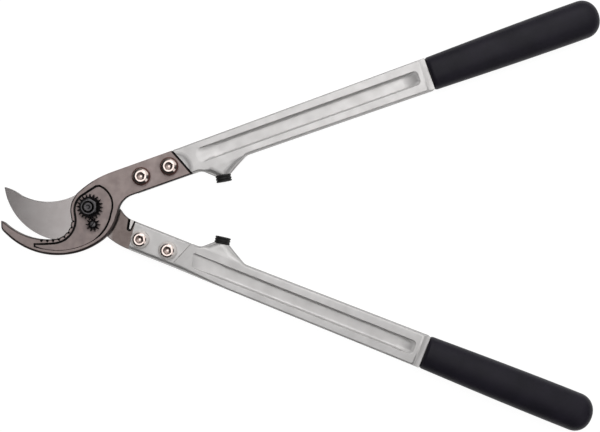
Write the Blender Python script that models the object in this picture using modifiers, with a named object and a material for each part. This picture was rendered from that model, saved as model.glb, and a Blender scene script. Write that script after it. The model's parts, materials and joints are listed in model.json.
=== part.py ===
"""Bypass lopper: forged hook and blade on aluminium handles, with a toothed, lockable pivot nut.

The tool lies on its back. The origin is the middle of the pivot bolt's head where it rests, +Z runs up
the pivot axis towards the nut, +X points from the head to the handles along the middle line, and the
hook's handle lies on the +Y side. All values are metres and degrees, at the tool's real size.

Each arm is modelled with +X along its handle and z = 0 in the plane where blade and hook slide on
each other, then turned out from the middle line by its parent empty on the pivot axis.
"""

import math

import bmesh
import bpy
from mathutils import Matrix, Vector

# Layout of the two arms
ARM_ANGLE = 20.65
ARM_OFFSET = 0.0109
FIT_GAP = 0.0003
EDGE_BREAK = 0.0005
CUT_PAST = 0.001

# Hook: thickness, arcs of its jaw, root and hub (centre, radius, end angles), tip, heel and panel
HOOK_THICKNESS = 0.006
JAW_OUTER_CENTRE = (-0.0209, 0.0330)
JAW_OUTER_RADIUS = 0.0696
JAW_INNER_CENTRE = (-0.0277, 0.0415)
JAW_INNER_TIGHTER = 0.0092
JAW_INNER_ANGLES = (256.0, 207.9)
JAW_ROOT_RADIUS = 0.0182
HUB_CENTRE = (0.0016, -0.0037)
HUB_RADIUS = 0.0215
HUB_START_ANGLE = 123.0
HOOK_TIP_ANGLE = 201.7
HOOK_TIP_STEPS = ((0.0019, 0.0087), (-0.0001, 0.0026))
SHOULDER_RADIUS = 0.092
SHOULDER_START_X = 0.030
SHOULDER_SPAN = 24.2
HEEL_ANGLE = 289.0
HEEL_POINTS = ((0.0166, -0.0228), (0.0243, -0.0117))
THROAT_RADIUS = 0.0195
THROAT_SPAN = 57.0
OUTER_CHAMFER = 0.0018
JAW_CHAMFER = 0.0010
RIM_WIDTH = 0.0040
PANEL_DEPTH = 0.0009
PANEL_HUB_ANGLE = 111.0
PANEL_TIP_ANGLE = 239.5
PANEL_TIP_RIM = 0.0055
PANEL_JAW_RIM = 0.0045
PANEL_JAW_ANGLES = (231.0, 278.3)
PANEL_HEEL_POINTS = ((0.0062, -0.0241), (0.0165, -0.0121))
PANEL_SIDE_POINTS = ((0.0216, 0.0012), (0.0172, 0.0136))
PANEL_TOP_POINTS = ((0.0150, 0.0159), (0.0118, 0.0166))
NOTCH_COUNT = 8
NOTCH_PITCH = 0.0053
NOTCH_HALF_WIDTH = 0.0008
NOTCH_DEPTH = 0.0016
NOTCH_FIRST_ANGLE = -23.4

# Blade: thickness, edge and spine arcs, tang and pocket
BLADE_THICKNESS = 0.005
EDGE_CENTRE = (-0.0319, 0.0171)
EDGE_INSIDE_JAW = 0.0096
EDGE_ANGLES = (209.9, 324.6)
BELLY_POINT = (0.0315, -0.0227)
BELLY_END_X = 0.0499
BEVEL_WIDTH = 0.0075
BEVEL_TIP_SHARE = 0.30
BEVEL_HEEL_SHARE = 0.18
EDGE_LAND = 0.0004
NOSE_STEPS = ((0.0069, 0.0003), (0.0174, -0.0014))
SPINE_POINTS = ((-0.0441, -0.0119), (-0.0202, 0.0031))
BLADE_HUB_POINTS = ((-0.0165, 0.0072), (-0.0062, 0.0168), (0.0130, 0.0135))
BLADE_BROW_POINTS = ((0.0205, 0.0106), (0.0275, 0.0071))
BLADE_THROAT_POINT = (0.0322, 0.0043)
BLADE_THROAT_END_X = 0.0390
POCKET_MOUTH_X = (0.0362, 0.0444)
POCKET_END_X = (0.0392, 0.0436)
POCKET_LENGTH = 0.0112
POCKET_CORNER = 0.0019
POCKET_DEPTH = 0.0025

# Tangs, and the lap of the handle that each one is bolted to
TANG_HALF_WIDTH = 0.0134
TANG_END_X = 0.0953
TANG_END_LEAN = 21.5
LAP_START_X = 0.0467
LAP_START_LEAN = 7.4
LAP_THICKNESS = 0.0063
BOLT_FRONT_X = 0.0554
BOLT_SPACING = 0.0280

# Handle forging
HANDLE_THICKNESS = 0.016
HANDLE_LENGTH = 0.2973
HANDLE_END_HALF_WIDTH = 0.0156
HANDLE_EDGE_RADIUS = 0.0020
TAPER_START_X = 0.100
RECESS_FRONT_START_X = 0.110
RECESS_FRONT_RUNOUT = 0.022
RECESS_BACK_START_X = 0.106
RECESS_BACK_RUNOUT = 0.008
RECESS_BACK_LEAN = 0.0045
RECESS_END_INSET = 0.0105
RECESS_HALF_WIDTH = 0.0069
RECESS_HEAD_CORNER = 0.0055
RECESS_GRIP_CORNER = 0.0038
RECESS_DRAFT = 0.0012
WEB_THICKNESS = 0.005
RAMP_BEHIND_TANG_END = 0.0078
RAMP_OFF_CENTRE = 0.0044
RAMP_FACE_RADIUS = 0.0167
RAMP_DEPTH = 0.0055
RAMP_DRAFT = 0.0045
LAP_RAMP_LENGTH = 0.016
COLLAR_LENGTH = 0.0075
COLLAR_SLOPE_LENGTH = 0.0045
COLLAR_STEP = 0.0011
GRIP_BAR_HALF_WIDTH = 0.010
GRIP_BAR_THICKNESS = 0.010
GRIP_BAR_LENGTH = 0.150
GRIP_BAR_CORNER = 0.003

# Rubber buffers between the handles
BUFFER_MEET_ANGLE = 8.85
BUFFER_REACH = 0.1285
BUFFER_DIAMETER = 0.0148
BUFFER_HEIGHT = 0.0062
BUFFER_LANDS = 3
BUFFER_GROOVE = 0.0005
BUFFER_STEM_DIAMETER = 0.006
BUFFER_STEM_LENGTH = 0.0065
BUFFER_SEAT_HALF_WIDTH = 0.0076
BOSS_HEAD_TOE = 0.0105
BOSS_GRIP_TOE = 0.0195
BOSS_TOE_RADIUS = 0.010
BOSS_SLOPE = 3.0

# Grips
GRIP_LENGTH = 0.1695
GRIP_SWELL_LENGTH = 0.1475
GRIP_START_HALF_WIDTH = 0.0160
GRIP_END_HALF_WIDTH = 0.0182
GRIP_START_HALF_THICKNESS = 0.0118
GRIP_LIP_RADIUS = 0.0014
GRIP_END_RADIUS = 0.0095
GRIP_SQUARENESS = 2.4
GRIP_STATIONS = 7

# Pivot: bolt, bush, washer, toothed nut and lock wheel
PIVOT_BOLT_DIAMETER = 0.010
PIVOT_HEAD_FLATS = 0.017
PIVOT_HEAD_HEIGHT = 0.0064
PIVOT_HEAD_CHAMFER = 0.0008
PIVOT_BOLT_STAND_OUT = 0.0012
PIVOT_TIP_CHAMFER = 0.0011
BUSH_WALL = 0.0017
PIVOT_WASHER_DIAMETER = 0.020
PIVOT_WASHER_THICKNESS = 0.0012
GEAR_MODULE = 0.001125
NUT_TEETH = 20
WHEEL_TEETH = 10
GEAR_THICKNESS = 0.0027
TOOTH_TIP_WIDTH = 0.0005
NUT_TOOTH_ROOT_WIDTH = 0.0019
WHEEL_TOOTH_ROOT_WIDTH = 0.0016
TOOTH_TIP_CLEARANCE = 0.0003
WHEEL_DIRECTION = -99.2
MESH_SHIFT = 3.0
NUT_FLATS = 0.015
NUT_HEX_HEIGHT = 0.006
NUT_HEX_CHAMFER = 0.0009
NUT_HEX_TURN = -19.6
WHEEL_SCREW_DIAMETER = 0.004
WHEEL_SCREW_HEAD_DIAMETER = 0.0066
WHEEL_SCREW_HEAD_HEIGHT = 0.0015
WHEEL_SCREW_LENGTH = 0.0042
SCREW_SLOT_WIDTH = 0.0010
SCREW_SLOT_DEPTH = 0.0007
SCREW_SLOT_TURN = 35.0

# Tang bolts, washers and nuts
BOLT_DIAMETER = 0.008
BOLT_FLANGE_DIAMETER = 0.0172
BOLT_FLANGE_THICKNESS = 0.0011
BOLT_FLANGE_RIM = 0.0008
BOLT_DOME_DIAMETER = 0.0148
BOLT_FACE_DIAMETER = 0.0104
BOLT_HEAD_HEIGHT = 0.0053
SOCKET_FLATS = 0.0065
SOCKET_DEPTH = 0.0028
WASHER_DIAMETER = 0.016
WASHER_THICKNESS = 0.0012
NUT_ACROSS_FLATS = 0.013
NUT_HEIGHT = 0.0042
NUT_CHAMFER = 0.0006
THREAD_STAND_OUT = 0.0003

# How finely curves are cut up
ARC_STEP = 6.0
ROUND_STEPS = 28
NOTCH_STEPS = 8
HEXAGON_POINTS = 24
HEXAGON_FACE_INSET = 0.0002
GRIP_SECTION_POINTS = 32

# Worked out from the sizes above
PLAY = FIT_GAP / 2
GEAR_CENTRE_DISTANCE = GEAR_MODULE * (NUT_TEETH + WHEEL_TEETH) / 2
BUSH_BORE = PIVOT_BOLT_DIAMETER / 2 + FIT_GAP
BUSH_RADIUS = BUSH_BORE + BUSH_WALL
PIVOT_HOLE = BUSH_RADIUS + FIT_GAP
BOLT_HOLE = BOLT_DIAMETER / 2 + FIT_GAP
HOOK_FRONT = PLAY + HOOK_THICKNESS
PANEL_FACE = HOOK_FRONT - PANEL_DEPTH
BLADE_BACK = -PLAY - BLADE_THICKNESS
PIVOT_WASHER_TOP = BLADE_BACK - FIT_GAP
PIVOT_HEAD_TOP = PIVOT_WASHER_TOP - PIVOT_WASHER_THICKNESS - FIT_GAP
STAND = PIVOT_HEAD_HEIGHT - PIVOT_HEAD_TOP
GEAR_BASE = PANEL_FACE + FIT_GAP
GEAR_TOP = GEAR_BASE + GEAR_THICKNESS
NUT_TOP = GEAR_TOP + NUT_HEX_HEIGHT
JAW_INNER_RADIUS = JAW_OUTER_RADIUS - JAW_INNER_TIGHTER
EDGE_RADIUS = JAW_OUTER_RADIUS - EDGE_INSIDE_JAW
HANDLE_HALF = HANDLE_THICKNESS / 2
HANDLE_END_X = LAP_START_X + HANDLE_LENGTH
GRIP_START_X = HANDLE_END_X + FIT_GAP
GRIP_END_X = GRIP_START_X + GRIP_LENGTH
TANG_OUTER_Y = ARM_OFFSET + TANG_HALF_WIDTH
TANG_INNER_Y = ARM_OFFSET - TANG_HALF_WIDTH
BOLT_XS = (BOLT_FRONT_X, BOLT_FRONT_X + BOLT_SPACING)

STEEL = ("forged_steel", (0.205, 0.170, 0.165), 0.42, 0.85)
GROUND_STEEL = ("ground_steel", (0.330, 0.300, 0.300), 0.30, 0.95)
ALUMINIUM = ("blasted_aluminium", (0.600, 0.590, 0.580), 0.45, 0.60)
PLATED = ("plated_steel", (0.620, 0.560, 0.520), 0.15, 1.0)
BLACK_STEEL = ("blackened_steel", (0.030, 0.027, 0.028), 0.40, 0.70)
BRONZE = ("bearing_bronze", (0.420, 0.240, 0.090), 0.35, 0.90)
RUBBER = ("buffer_rubber", (0.015, 0.014, 0.015), 0.75, 0.0)
GRIP_PLASTIC = ("grip_sleeve", (0.022, 0.020, 0.026), 0.48, 0.0)


def on_circle(centre, radius, angle):
    """Point on a circle in the plane, angle in degrees."""
    turn = math.radians(angle)
    return (centre[0] + radius * math.cos(turn), centre[1] + radius * math.sin(turn))


def arc(centre, radius, start, end):
    """Points from angle start to angle end, both included, about ARC_STEP apart."""
    steps = max(2, round(abs(end - start) / ARC_STEP))
    return [on_circle(centre, radius, start + (end - start) * i / steps) for i in range(steps + 1)]


def circle_through(first, second, third):
    """Centre and radius of the circle through three points."""
    ax, ay = first[0] - third[0], first[1] - third[1]
    bx, by = second[0] - third[0], second[1] - third[1]
    cross = 2 * (ax * by - ay * bx)
    a2, b2 = ax * ax + ay * ay, bx * bx + by * by
    dx, dy = (by * a2 - ay * b2) / cross, (ax * b2 - bx * a2) / cross
    return (third[0] + dx, third[1] + dy), math.hypot(dx, dy)


def arc_through(first, second, third):
    """Points of the arc from the first to the third point that passes through the second."""
    centre, radius = circle_through(first, second, third)
    angles = [math.degrees(math.atan2(p[1] - centre[1], p[0] - centre[0])) for p in (first, second, third)]
    turn = (angles[1] - angles[0]) % 360 + (angles[2] - angles[1]) % 360
    end = angles[0] + (turn if turn < 360 else turn - 720)
    return arc(centre, radius, angles[0], end)


def angle_from(centre, point):
    """Direction from a centre to a point, in degrees from 0 to 360."""
    return math.degrees(math.atan2(point[1] - centre[1], point[0] - centre[0])) % 360


def rounded(corners):
    """Outline through (x, y, radius) corners, each rounded by an arc tangent to its two sides."""
    outline = []
    for i, (x, y, radius) in enumerate(corners):
        corner = Vector((x, y))
        if radius == 0:
            outline.append((x, y))
            continue
        before = (Vector(corners[i - 1][:2]) - corner).normalized()
        after = (Vector(corners[(i + 1) % len(corners)][:2]) - corner).normalized()
        half = before.angle(after) / 2
        reach = radius / math.tan(half)
        centre = corner + (before + after).normalized() * radius / math.sin(half)
        start = angle_from(centre, corner + before * reach)
        sweep = (angle_from(centre, corner + after * reach) - start + 180) % 360 - 180
        outline += arc(centre, radius, start, start + sweep)
    return outline


def without_repeats(outline, nearest=2e-5):
    """The outline with points that fall on their neighbour left out."""
    kept = []
    for point in outline:
        if not kept or math.dist(point, kept[-1]) > nearest:
            kept.append(point)
    if math.dist(kept[0], kept[-1]) < nearest:
        kept.pop()
    return kept


def inset(outline, widths):
    """Outline moved inwards at each point by its own width; the outline runs counter-clockwise."""
    moved = []
    for i, (x, y) in enumerate(outline):
        before, after = Vector(outline[i - 1]), Vector(outline[(i + 1) % len(outline)])
        along_in = (Vector((x, y)) - before).normalized()
        along_out = (after - Vector((x, y))).normalized()
        bisector = Vector((-along_in.y - along_out.y, along_in.x + along_out.x)).normalized()
        stretch = max(0.5, bisector.dot(Vector((-along_in.y, along_in.x))))
        shift = bisector * widths[i] / stretch
        moved.append((x + shift.x, y + shift.y))
    return moved


class Bench:
    """Materials and the two collections that the modelling functions write into."""

    def __init__(self):
        for old in list(bpy.data.objects):
            bpy.data.objects.remove(old)
        self.parts = bpy.data.collections.new("lopper")
        self.cutters = bpy.data.collections.new("cutters")
        for collection in (self.parts, self.cutters):
            bpy.context.scene.collection.children.link(collection)
        self.materials = {}

    def material(self, finish):
        """Principled material for a (name, linear colour, roughness, metallic) finish."""
        name, colour, roughness, metallic = finish
        if name not in self.materials:
            made = bpy.data.materials.new(name)
            made.use_nodes = True
            shader = made.node_tree.nodes["Principled BSDF"]
            shader.inputs["Base Color"].default_value = (*colour, 1.0)
            shader.inputs["Roughness"].default_value = roughness
            shader.inputs["Metallic"].default_value = metallic
            self.materials[name] = made
        return self.materials[name]

    def piece(self, name, mesh, finish, parent=None):
        """Add a mesh to the tool as a named part."""
        part = bpy.data.objects.new(name, mesh)
        self.parts.objects.link(part)
        if not mesh.materials:
            mesh.materials.append(self.material(finish))
        part.parent = parent
        return part

    def cutter(self, name, mesh, parent=None):
        """Add a mesh as a hidden cutter."""
        tool = bpy.data.objects.new(name, mesh)
        self.cutters.objects.link(tool)
        tool.hide_render = True
        tool.display_type = "WIRE"
        tool.parent = parent
        return tool

    def pivot_empty(self, name, angle):
        """Empty on the pivot axis, at the sliding plane's height, turned by an angle."""
        empty = bpy.data.objects.new(name, None)
        self.parts.objects.link(empty)
        empty.location = (0.0, 0.0, STAND)
        empty.rotation_euler = (0.0, 0.0, math.radians(angle))
        return empty


def mesh_from(name, build):
    """Mesh filled by a function that gets an empty bmesh."""
    mesh = bpy.data.meshes.new(name)
    draft = bmesh.new()
    build(draft)
    bmesh.ops.recalc_face_normals(draft, faces=draft.faces)
    draft.to_mesh(mesh)
    draft.free()
    return mesh


def evaluated_mesh(part):
    """Copy of an object's mesh with its modifiers applied."""
    bpy.context.view_layer.update()
    graph = bpy.context.evaluated_depsgraph_get()
    return bpy.data.meshes.new_from_object(part.evaluated_get(graph))


def plate(name, outline, bottom, top):
    """Flat plate between two heights from an outline, as a filled 2D curve turned into a mesh."""
    curve = bpy.data.curves.new(name, "CURVE")
    curve.dimensions = "2D"
    curve.fill_mode = "BOTH"
    curve.extrude = (top - bottom) / 2
    spline = curve.splines.new("POLY")
    spline.points.add(len(outline) - 1)
    for point, (x, y) in zip(spline.points, outline):
        point.co = (x, y, 0.0, 1.0)
    spline.use_cyclic_u = True
    holder = bpy.data.objects.new(name, curve)
    bpy.context.scene.collection.objects.link(holder)
    mesh = evaluated_mesh(holder)
    bpy.data.objects.remove(holder)
    bpy.data.curves.remove(curve)
    draft = bmesh.new()
    draft.from_mesh(mesh)
    bmesh.ops.remove_doubles(draft, verts=draft.verts, dist=1e-6)
    bmesh.ops.dissolve_limit(draft, angle_limit=math.radians(0.5), verts=draft.verts, edges=draft.edges)
    bmesh.ops.translate(draft, verts=draft.verts, vec=(0.0, 0.0, (top + bottom) / 2))
    bmesh.ops.recalc_face_normals(draft, faces=draft.faces)
    draft.to_mesh(mesh)
    draft.free()
    mesh.name = name
    return mesh


def loft(name, rings):
    """Closed solid through rings of (x, y, z) points, all with the same count."""

    def build(draft):
        rows = [[draft.verts.new(point) for point in ring] for ring in rings]
        for lower, upper in zip(rows[:-1], rows[1:]):
            for i in range(len(lower)):
                after = (i + 1) % len(lower)
                draft.faces.new((lower[i], lower[after], upper[after], upper[i]))
        draft.faces.new(list(reversed(rows[0])))
        draft.faces.new(rows[-1])
        bmesh.ops.remove_doubles(draft, verts=draft.verts, dist=1e-7)

    return mesh_from(name, build)


def turned(name, profile):
    """Solid of revolution about Z from (radius, height) points that run down the outside."""
    mesh = bpy.data.meshes.new(name)
    closed = profile[0][0] > 0
    edges = [(i, i + 1) for i in range(len(profile) - 1)]
    if closed:
        edges.append((len(profile) - 1, 0))
    mesh.from_pydata([(radius, 0.0, height) for radius, height in profile], edges, [])
    holder = bpy.data.objects.new(name, mesh)
    bpy.context.scene.collection.objects.link(holder)
    screw = holder.modifiers.new("turn", "SCREW")
    screw.steps = ROUND_STEPS
    screw.render_steps = ROUND_STEPS
    screw.use_merge_vertices = True
    screw.merge_threshold = 1e-6
    solid = evaluated_mesh(holder)
    bpy.data.objects.remove(holder)
    bpy.data.meshes.remove(mesh)
    draft = bmesh.new()
    draft.from_mesh(solid)
    bmesh.ops.remove_doubles(draft, verts=draft.verts, dist=1e-6)
    bmesh.ops.dissolve_degenerate(draft, edges=draft.edges, dist=1e-7)
    bmesh.ops.recalc_face_normals(draft, faces=draft.faces)
    draft.to_mesh(solid)
    draft.free()
    solid.name = name
    return smooth(solid)


def cylinder(name, radius, bottom, top, steps=ROUND_STEPS):
    """Cylinder about Z, also used with few steps as a prism."""

    def build(draft):
        place = Matrix.Translation((0.0, 0.0, (bottom + top) / 2))
        bmesh.ops.create_cone(draft, cap_ends=True, segments=steps, radius1=radius, radius2=radius,
                              depth=top - bottom, matrix=place)

    return mesh_from(name, build)


def hexagon(name, across_flats, bottom, top):
    """Hexagonal prism about Z with a flat towards +X."""
    mesh = cylinder(name, across_flats / math.sqrt(3), bottom, top, steps=6)
    mesh.transform(Matrix.Rotation(math.radians(30), 4, "Z"))
    return mesh


def smooth(mesh, angle=32):
    """Shade a mesh smooth with sharp edges beyond an angle."""
    mesh.shade_smooth()
    mesh.set_sharp_from_angle(angle=math.radians(angle))
    return mesh


def cut(part, cutter, operation="DIFFERENCE"):
    """Boolean one object with another and keep it as a modifier."""
    change = part.modifiers.new(cutter.name, "BOOLEAN")
    change.operation = operation
    change.solver = "EXACT"
    change.object = cutter


def round_rims(part, width, segments):
    """Bevel the edges round a plate's two faces, and leave its upright corners as they are."""
    mesh = part.data
    weights = mesh.attributes.new("bevel_weight_edge", "FLOAT", "EDGE")
    for edge in mesh.edges:
        first, second = (mesh.vertices[i].co.z for i in edge.vertices)
        weights.data[edge.index].value = 1.0 if abs(first - second) < 1e-6 else 0.0
    bevel = part.modifiers.new("rounded_rims", "BEVEL")
    bevel.width = width
    bevel.segments = segments
    bevel.limit_method = "WEIGHT"


def slanted_end(x, lean):
    """Outer and inner corner, in the hook arm, where a line leaning off square crosses a tang."""
    shift = math.tan(math.radians(lean)) * TANG_HALF_WIDTH
    return (x - shift, TANG_OUTER_Y), (x + shift, TANG_INNER_Y)


def jaw_root_centre():
    """Centre of the root's arc, which runs on smoothly from the jaw's inner edge."""
    return on_circle(JAW_INNER_CENTRE, JAW_INNER_RADIUS - JAW_ROOT_RADIUS, JAW_INNER_ANGLES[0])


def meeting_angles(first, first_radius, second, second_radius):
    """Angles on two circles of their meeting point left of the way from the first to the second.

    Circles that don't reach each other give their nearest points.
    """
    span = math.dist(first, second)
    way = angle_from(first, second)

    def spread(radius, other):
        return math.degrees(math.acos(min(1.0, (span ** 2 + radius ** 2 - other ** 2) / (2 * span * radius))))

    return way + spread(first_radius, second_radius), way - 180.0 - spread(second_radius, first_radius)


def jaw_inner_edge(offset, hub_start, jaw_end):
    """Inner edge of the hook from the hub towards the tip, moved into the hook by an offset."""
    hub_radius, root_radius = HUB_RADIUS - offset, JAW_ROOT_RADIUS + offset
    root_centre = jaw_root_centre()
    hub_end, root_start = meeting_angles(HUB_CENTRE, hub_radius, root_centre, root_radius)
    hub = arc(HUB_CENTRE, hub_radius, hub_start, hub_end)
    root = arc(root_centre, root_radius, root_start, JAW_INNER_ANGLES[0] - 360.0)
    jaw = arc(JAW_INNER_CENTRE, JAW_INNER_RADIUS + offset, JAW_INNER_ANGLES[0], jaw_end)
    return hub[:-1] + root[:-1] + jaw


def hook_outline():
    """Outline of the hook, counter-clockwise from the tang's inner corner, with its inner and outer edges' spans."""
    outer_corner, inner_corner = slanted_end(TANG_END_X, TANG_END_LEAN)
    shoulder_centre = (SHOULDER_START_X, TANG_OUTER_Y - SHOULDER_RADIUS)
    shoulder = arc(shoulder_centre, SHOULDER_RADIUS, 90.0, 90.0 + SHOULDER_SPAN)
    inner = jaw_inner_edge(0.0, HUB_START_ANGLE, JAW_INNER_ANGLES[1])
    outer = arc(JAW_OUTER_CENTRE, JAW_OUTER_RADIUS, HOOK_TIP_ANGLE, HEEL_ANGLE)
    tip = [(outer[0][0] + x, outer[0][1] + y) for x, y in HOOK_TIP_STEPS]
    heel = arc_through(outer[-1], *HEEL_POINTS)
    heel_reach = math.sin(math.radians(THROAT_SPAN)) * THROAT_RADIUS
    throat_centre = (HEEL_POINTS[1][0] + heel_reach, TANG_INNER_Y - THROAT_RADIUS)
    throat = arc(throat_centre, THROAT_RADIUS, 90.0 + THROAT_SPAN, 90.0)
    tang = without_repeats([inner_corner, outer_corner] + shoulder)
    before = without_repeats(tang + inner + tip)
    outline = without_repeats(before + outer + heel[1:] + throat)
    inner_span = range(len(tang), len(before) - len(tip))
    outer_span = range(len(before), len(before) + len(outer) + len(heel) - 4)
    return outline, inner_span, outer_span


def panel_outline():
    """Outline of the recessed panel round the nut: inside the rim, and narrowing along the jaw."""
    root_end = JAW_INNER_ANGLES[0]
    inner = jaw_inner_edge(RIM_WIDTH, PANEL_HUB_ANGLE, root_end)
    bulge = JAW_INNER_RADIUS + RIM_WIDTH + (PANEL_TIP_RIM - RIM_WIDTH) / 4
    upper = arc_through(inner[-1], on_circle(JAW_INNER_CENTRE, bulge, (root_end + PANEL_TIP_ANGLE) / 2),
                        on_circle(JAW_INNER_CENTRE, JAW_INNER_RADIUS + PANEL_TIP_RIM, PANEL_TIP_ANGLE))
    lower = arc(JAW_OUTER_CENTRE, JAW_OUTER_RADIUS - PANEL_JAW_RIM, *PANEL_JAW_ANGLES)
    heel = arc_through(lower[-1], *PANEL_HEEL_POINTS)
    side = arc_through(PANEL_HEEL_POINTS[1], *PANEL_SIDE_POINTS)
    return without_repeats(inner + upper[1:] + lower + heel[1:] + side[1:] + list(PANEL_TOP_POINTS))


def notch_places():
    """Where each serration notch sits, one pitch apart along the jaw's inner edge, and the way it faces."""
    root_end = JAW_INNER_ANGLES[0] - 360.0
    step = math.degrees(NOTCH_PITCH / JAW_ROOT_RADIUS)
    jaw_step = math.degrees(NOTCH_PITCH / JAW_INNER_RADIUS)
    for i in range(NOTCH_COUNT):
        angle = NOTCH_FIRST_ANGLE - i * step
        if angle > root_end:
            yield on_circle(jaw_root_centre(), JAW_ROOT_RADIUS, angle), angle
        else:
            jaw_angle = JAW_INNER_ANGLES[0] - (root_end - angle) / step * jaw_step
            yield on_circle(JAW_INNER_CENTRE, JAW_INNER_RADIUS, jaw_angle), jaw_angle


def at_height(outline, height):
    """Outline as 3D points at one height."""
    return [(x, y, height) for x, y in outline]


def bolt_holes(bench, arm, side, bottom, top):
    """Cutters for the two tang bolts; side is 1 for the hook arm and -1 for the blade arm."""
    for number, x in enumerate(BOLT_XS, start=1):
        tool = bench.cutter(f"bolt_hole_{arm.name}_{number}", cylinder("hole", BOLT_HOLE, bottom, top), arm)
        tool.location = (x, side * ARM_OFFSET, 0.0)
        yield tool


def make_hook(bench, arm):
    """Forged counter blade: chamfered edges, recessed panel, notched inner edge, pivot bore."""
    outline, inner_span, outer_span = hook_outline()
    widths = [EDGE_BREAK] * len(outline)
    for span, chamfer in ((inner_span, JAW_CHAMFER), (outer_span, OUTER_CHAMFER)):
        for i in span:
            widths[i] = chamfer
    front = inset(outline, widths)
    middle = [(x, y, HOOK_FRONT - width) for (x, y), width in zip(outline, widths)]
    hook = bench.piece("hook", loft("hook", [at_height(outline, PLAY), middle, at_height(front, HOOK_FRONT)]),
                       STEEL, arm)
    top = HOOK_FRONT + FIT_GAP
    cut(hook, bench.cutter("panel_recess", plate("panel_recess", panel_outline(), PANEL_FACE, top), arm))
    cut(hook, bench.cutter("hook_bore", cylinder("hook_bore", PIVOT_HOLE, -FIT_GAP, top), arm))
    screw_hole = cylinder("wheel_screw_hole", WHEEL_SCREW_DIAMETER / 2 + FIT_GAP,
                          PANEL_FACE - WHEEL_SCREW_LENGTH - FIT_GAP, top)
    cutter = bench.cutter("wheel_screw_hole", screw_hole, arm)
    cutter.location = wheel_place()
    cut(hook, cutter)
    for tool in bolt_holes(bench, arm, 1, -FIT_GAP, top):
        cut(hook, tool)
    for number, ((x, y), facing) in enumerate(notch_places(), start=1):
        mesh = cylinder("notch", NOTCH_HALF_WIDTH, -FIT_GAP, top, NOTCH_STEPS)
        mesh.transform(Matrix.Diagonal((NOTCH_DEPTH / NOTCH_HALF_WIDTH, 1.0, 1.0, 1.0)))
        notch = bench.cutter(f"notch_{number}", mesh, arm)
        notch.location = (x, y, 0.0)
        notch.rotation_euler = (0.0, 0.0, math.radians(facing))
        cut(hook, notch)
    return hook


def blade_outline():
    """Outline of the blade in its arm, counter-clockwise from the tip, with the cutting edge's span."""
    edge = arc(EDGE_CENTRE, EDGE_RADIUS, *EDGE_ANGLES)
    belly = arc_through(edge[-1], BELLY_POINT, (BELLY_END_X, -TANG_OUTER_Y))
    back_end = [(x, -y) for x, y in slanted_end(TANG_END_X, TANG_END_LEAN)]
    throat = arc_through((BLADE_THROAT_END_X, -TANG_INNER_Y), BLADE_THROAT_POINT, BLADE_BROW_POINTS[1])
    brow = arc_through(BLADE_BROW_POINTS[1], BLADE_BROW_POINTS[0], BLADE_HUB_POINTS[2])
    hub = arc_through(*reversed(BLADE_HUB_POINTS))
    nose_middle, nose_start = [(edge[0][0] + x, edge[0][1] + y) for x, y in NOSE_STEPS]
    spine = arc_through(SPINE_POINTS[1], SPINE_POINTS[0], nose_start)
    nose = arc_through(nose_start, nose_middle, edge[0])
    points = edge + belly[1:] + back_end + throat + brow[1:] + hub[1:] + spine + nose[1:-1]
    return without_repeats(points), len(edge)


def bevel_widths(count, total):
    """Width of the ground bevel at each outline point: nothing at the tip, full along the edge."""
    widths = [0.0] * total
    for i in range(1, count - 1):
        along = i / (count - 1)
        ramp = min(1.0, along / BEVEL_TIP_SHARE, (1.0 - along) / BEVEL_HEEL_SHARE)
        widths[i] = BEVEL_WIDTH * math.sin(math.pi / 2 * ramp)
    return widths


def make_blade(bench, arm):
    """Cutting blade: flat front, bevel ground on the back, pivot bore, tang holes and pocket."""
    outline, edge_count = blade_outline()
    widths = bevel_widths(edge_count, len(outline))
    back = inset(outline, widths)
    land = [(x, y, -PLAY - EDGE_LAND) for x, y in outline]
    for i, width in enumerate(widths):
        if width == 0.0:
            land[i] = (outline[i][0], outline[i][1], BLADE_BACK + EDGE_LAND)
    blade = bench.piece("blade", loft("blade", [at_height(back, BLADE_BACK), land, at_height(outline, -PLAY)]),
                        GROUND_STEEL, arm)
    cut(blade, bench.cutter("blade_bore", cylinder("blade_bore", PIVOT_HOLE, BLADE_BACK - FIT_GAP, FIT_GAP), arm))
    for tool in bolt_holes(bench, arm, -1, BLADE_BACK - FIT_GAP, FIT_GAP):
        cut(blade, tool)
    mouth = -TANG_INNER_Y + CUT_PAST
    end = -TANG_INNER_Y - POCKET_LENGTH
    pocket = rounded([(POCKET_MOUTH_X[0], mouth, 0), (POCKET_END_X[0], end, POCKET_CORNER),
                      (POCKET_END_X[1], end, POCKET_CORNER), (POCKET_MOUTH_X[1], mouth, 0)])
    mesh = plate("tang_pocket", pocket, -PLAY - POCKET_DEPTH, FIT_GAP)
    cut(blade, bench.cutter("tang_pocket", mesh, arm))
    return blade


def buffer_frame():
    """Placement at a buffer's seat in the upper handle, +Z pointing out towards the other buffer."""
    meet = math.radians(BUFFER_MEET_ANGLE)
    out = Vector((-math.sin(meet), -math.cos(meet), 0.0))
    face = Vector((math.cos(meet), -math.sin(meet), 0.0)) * BUFFER_REACH
    seat = face - out * BUFFER_HEIGHT
    along = Vector((math.cos(meet), -math.sin(meet), 0.0))
    turn = Matrix((along, out.cross(along), out)).transposed()
    return Matrix.Translation(seat) @ turn.to_4x4()


def handle_half_width(x):
    """Half of the handle's width at a place along it."""
    share = max(0.0, (x - TAPER_START_X) / (HANDLE_END_X - TAPER_START_X))
    return TANG_HALF_WIDTH + (HANDLE_END_HALF_WIDTH - TANG_HALF_WIDTH) * share


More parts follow.
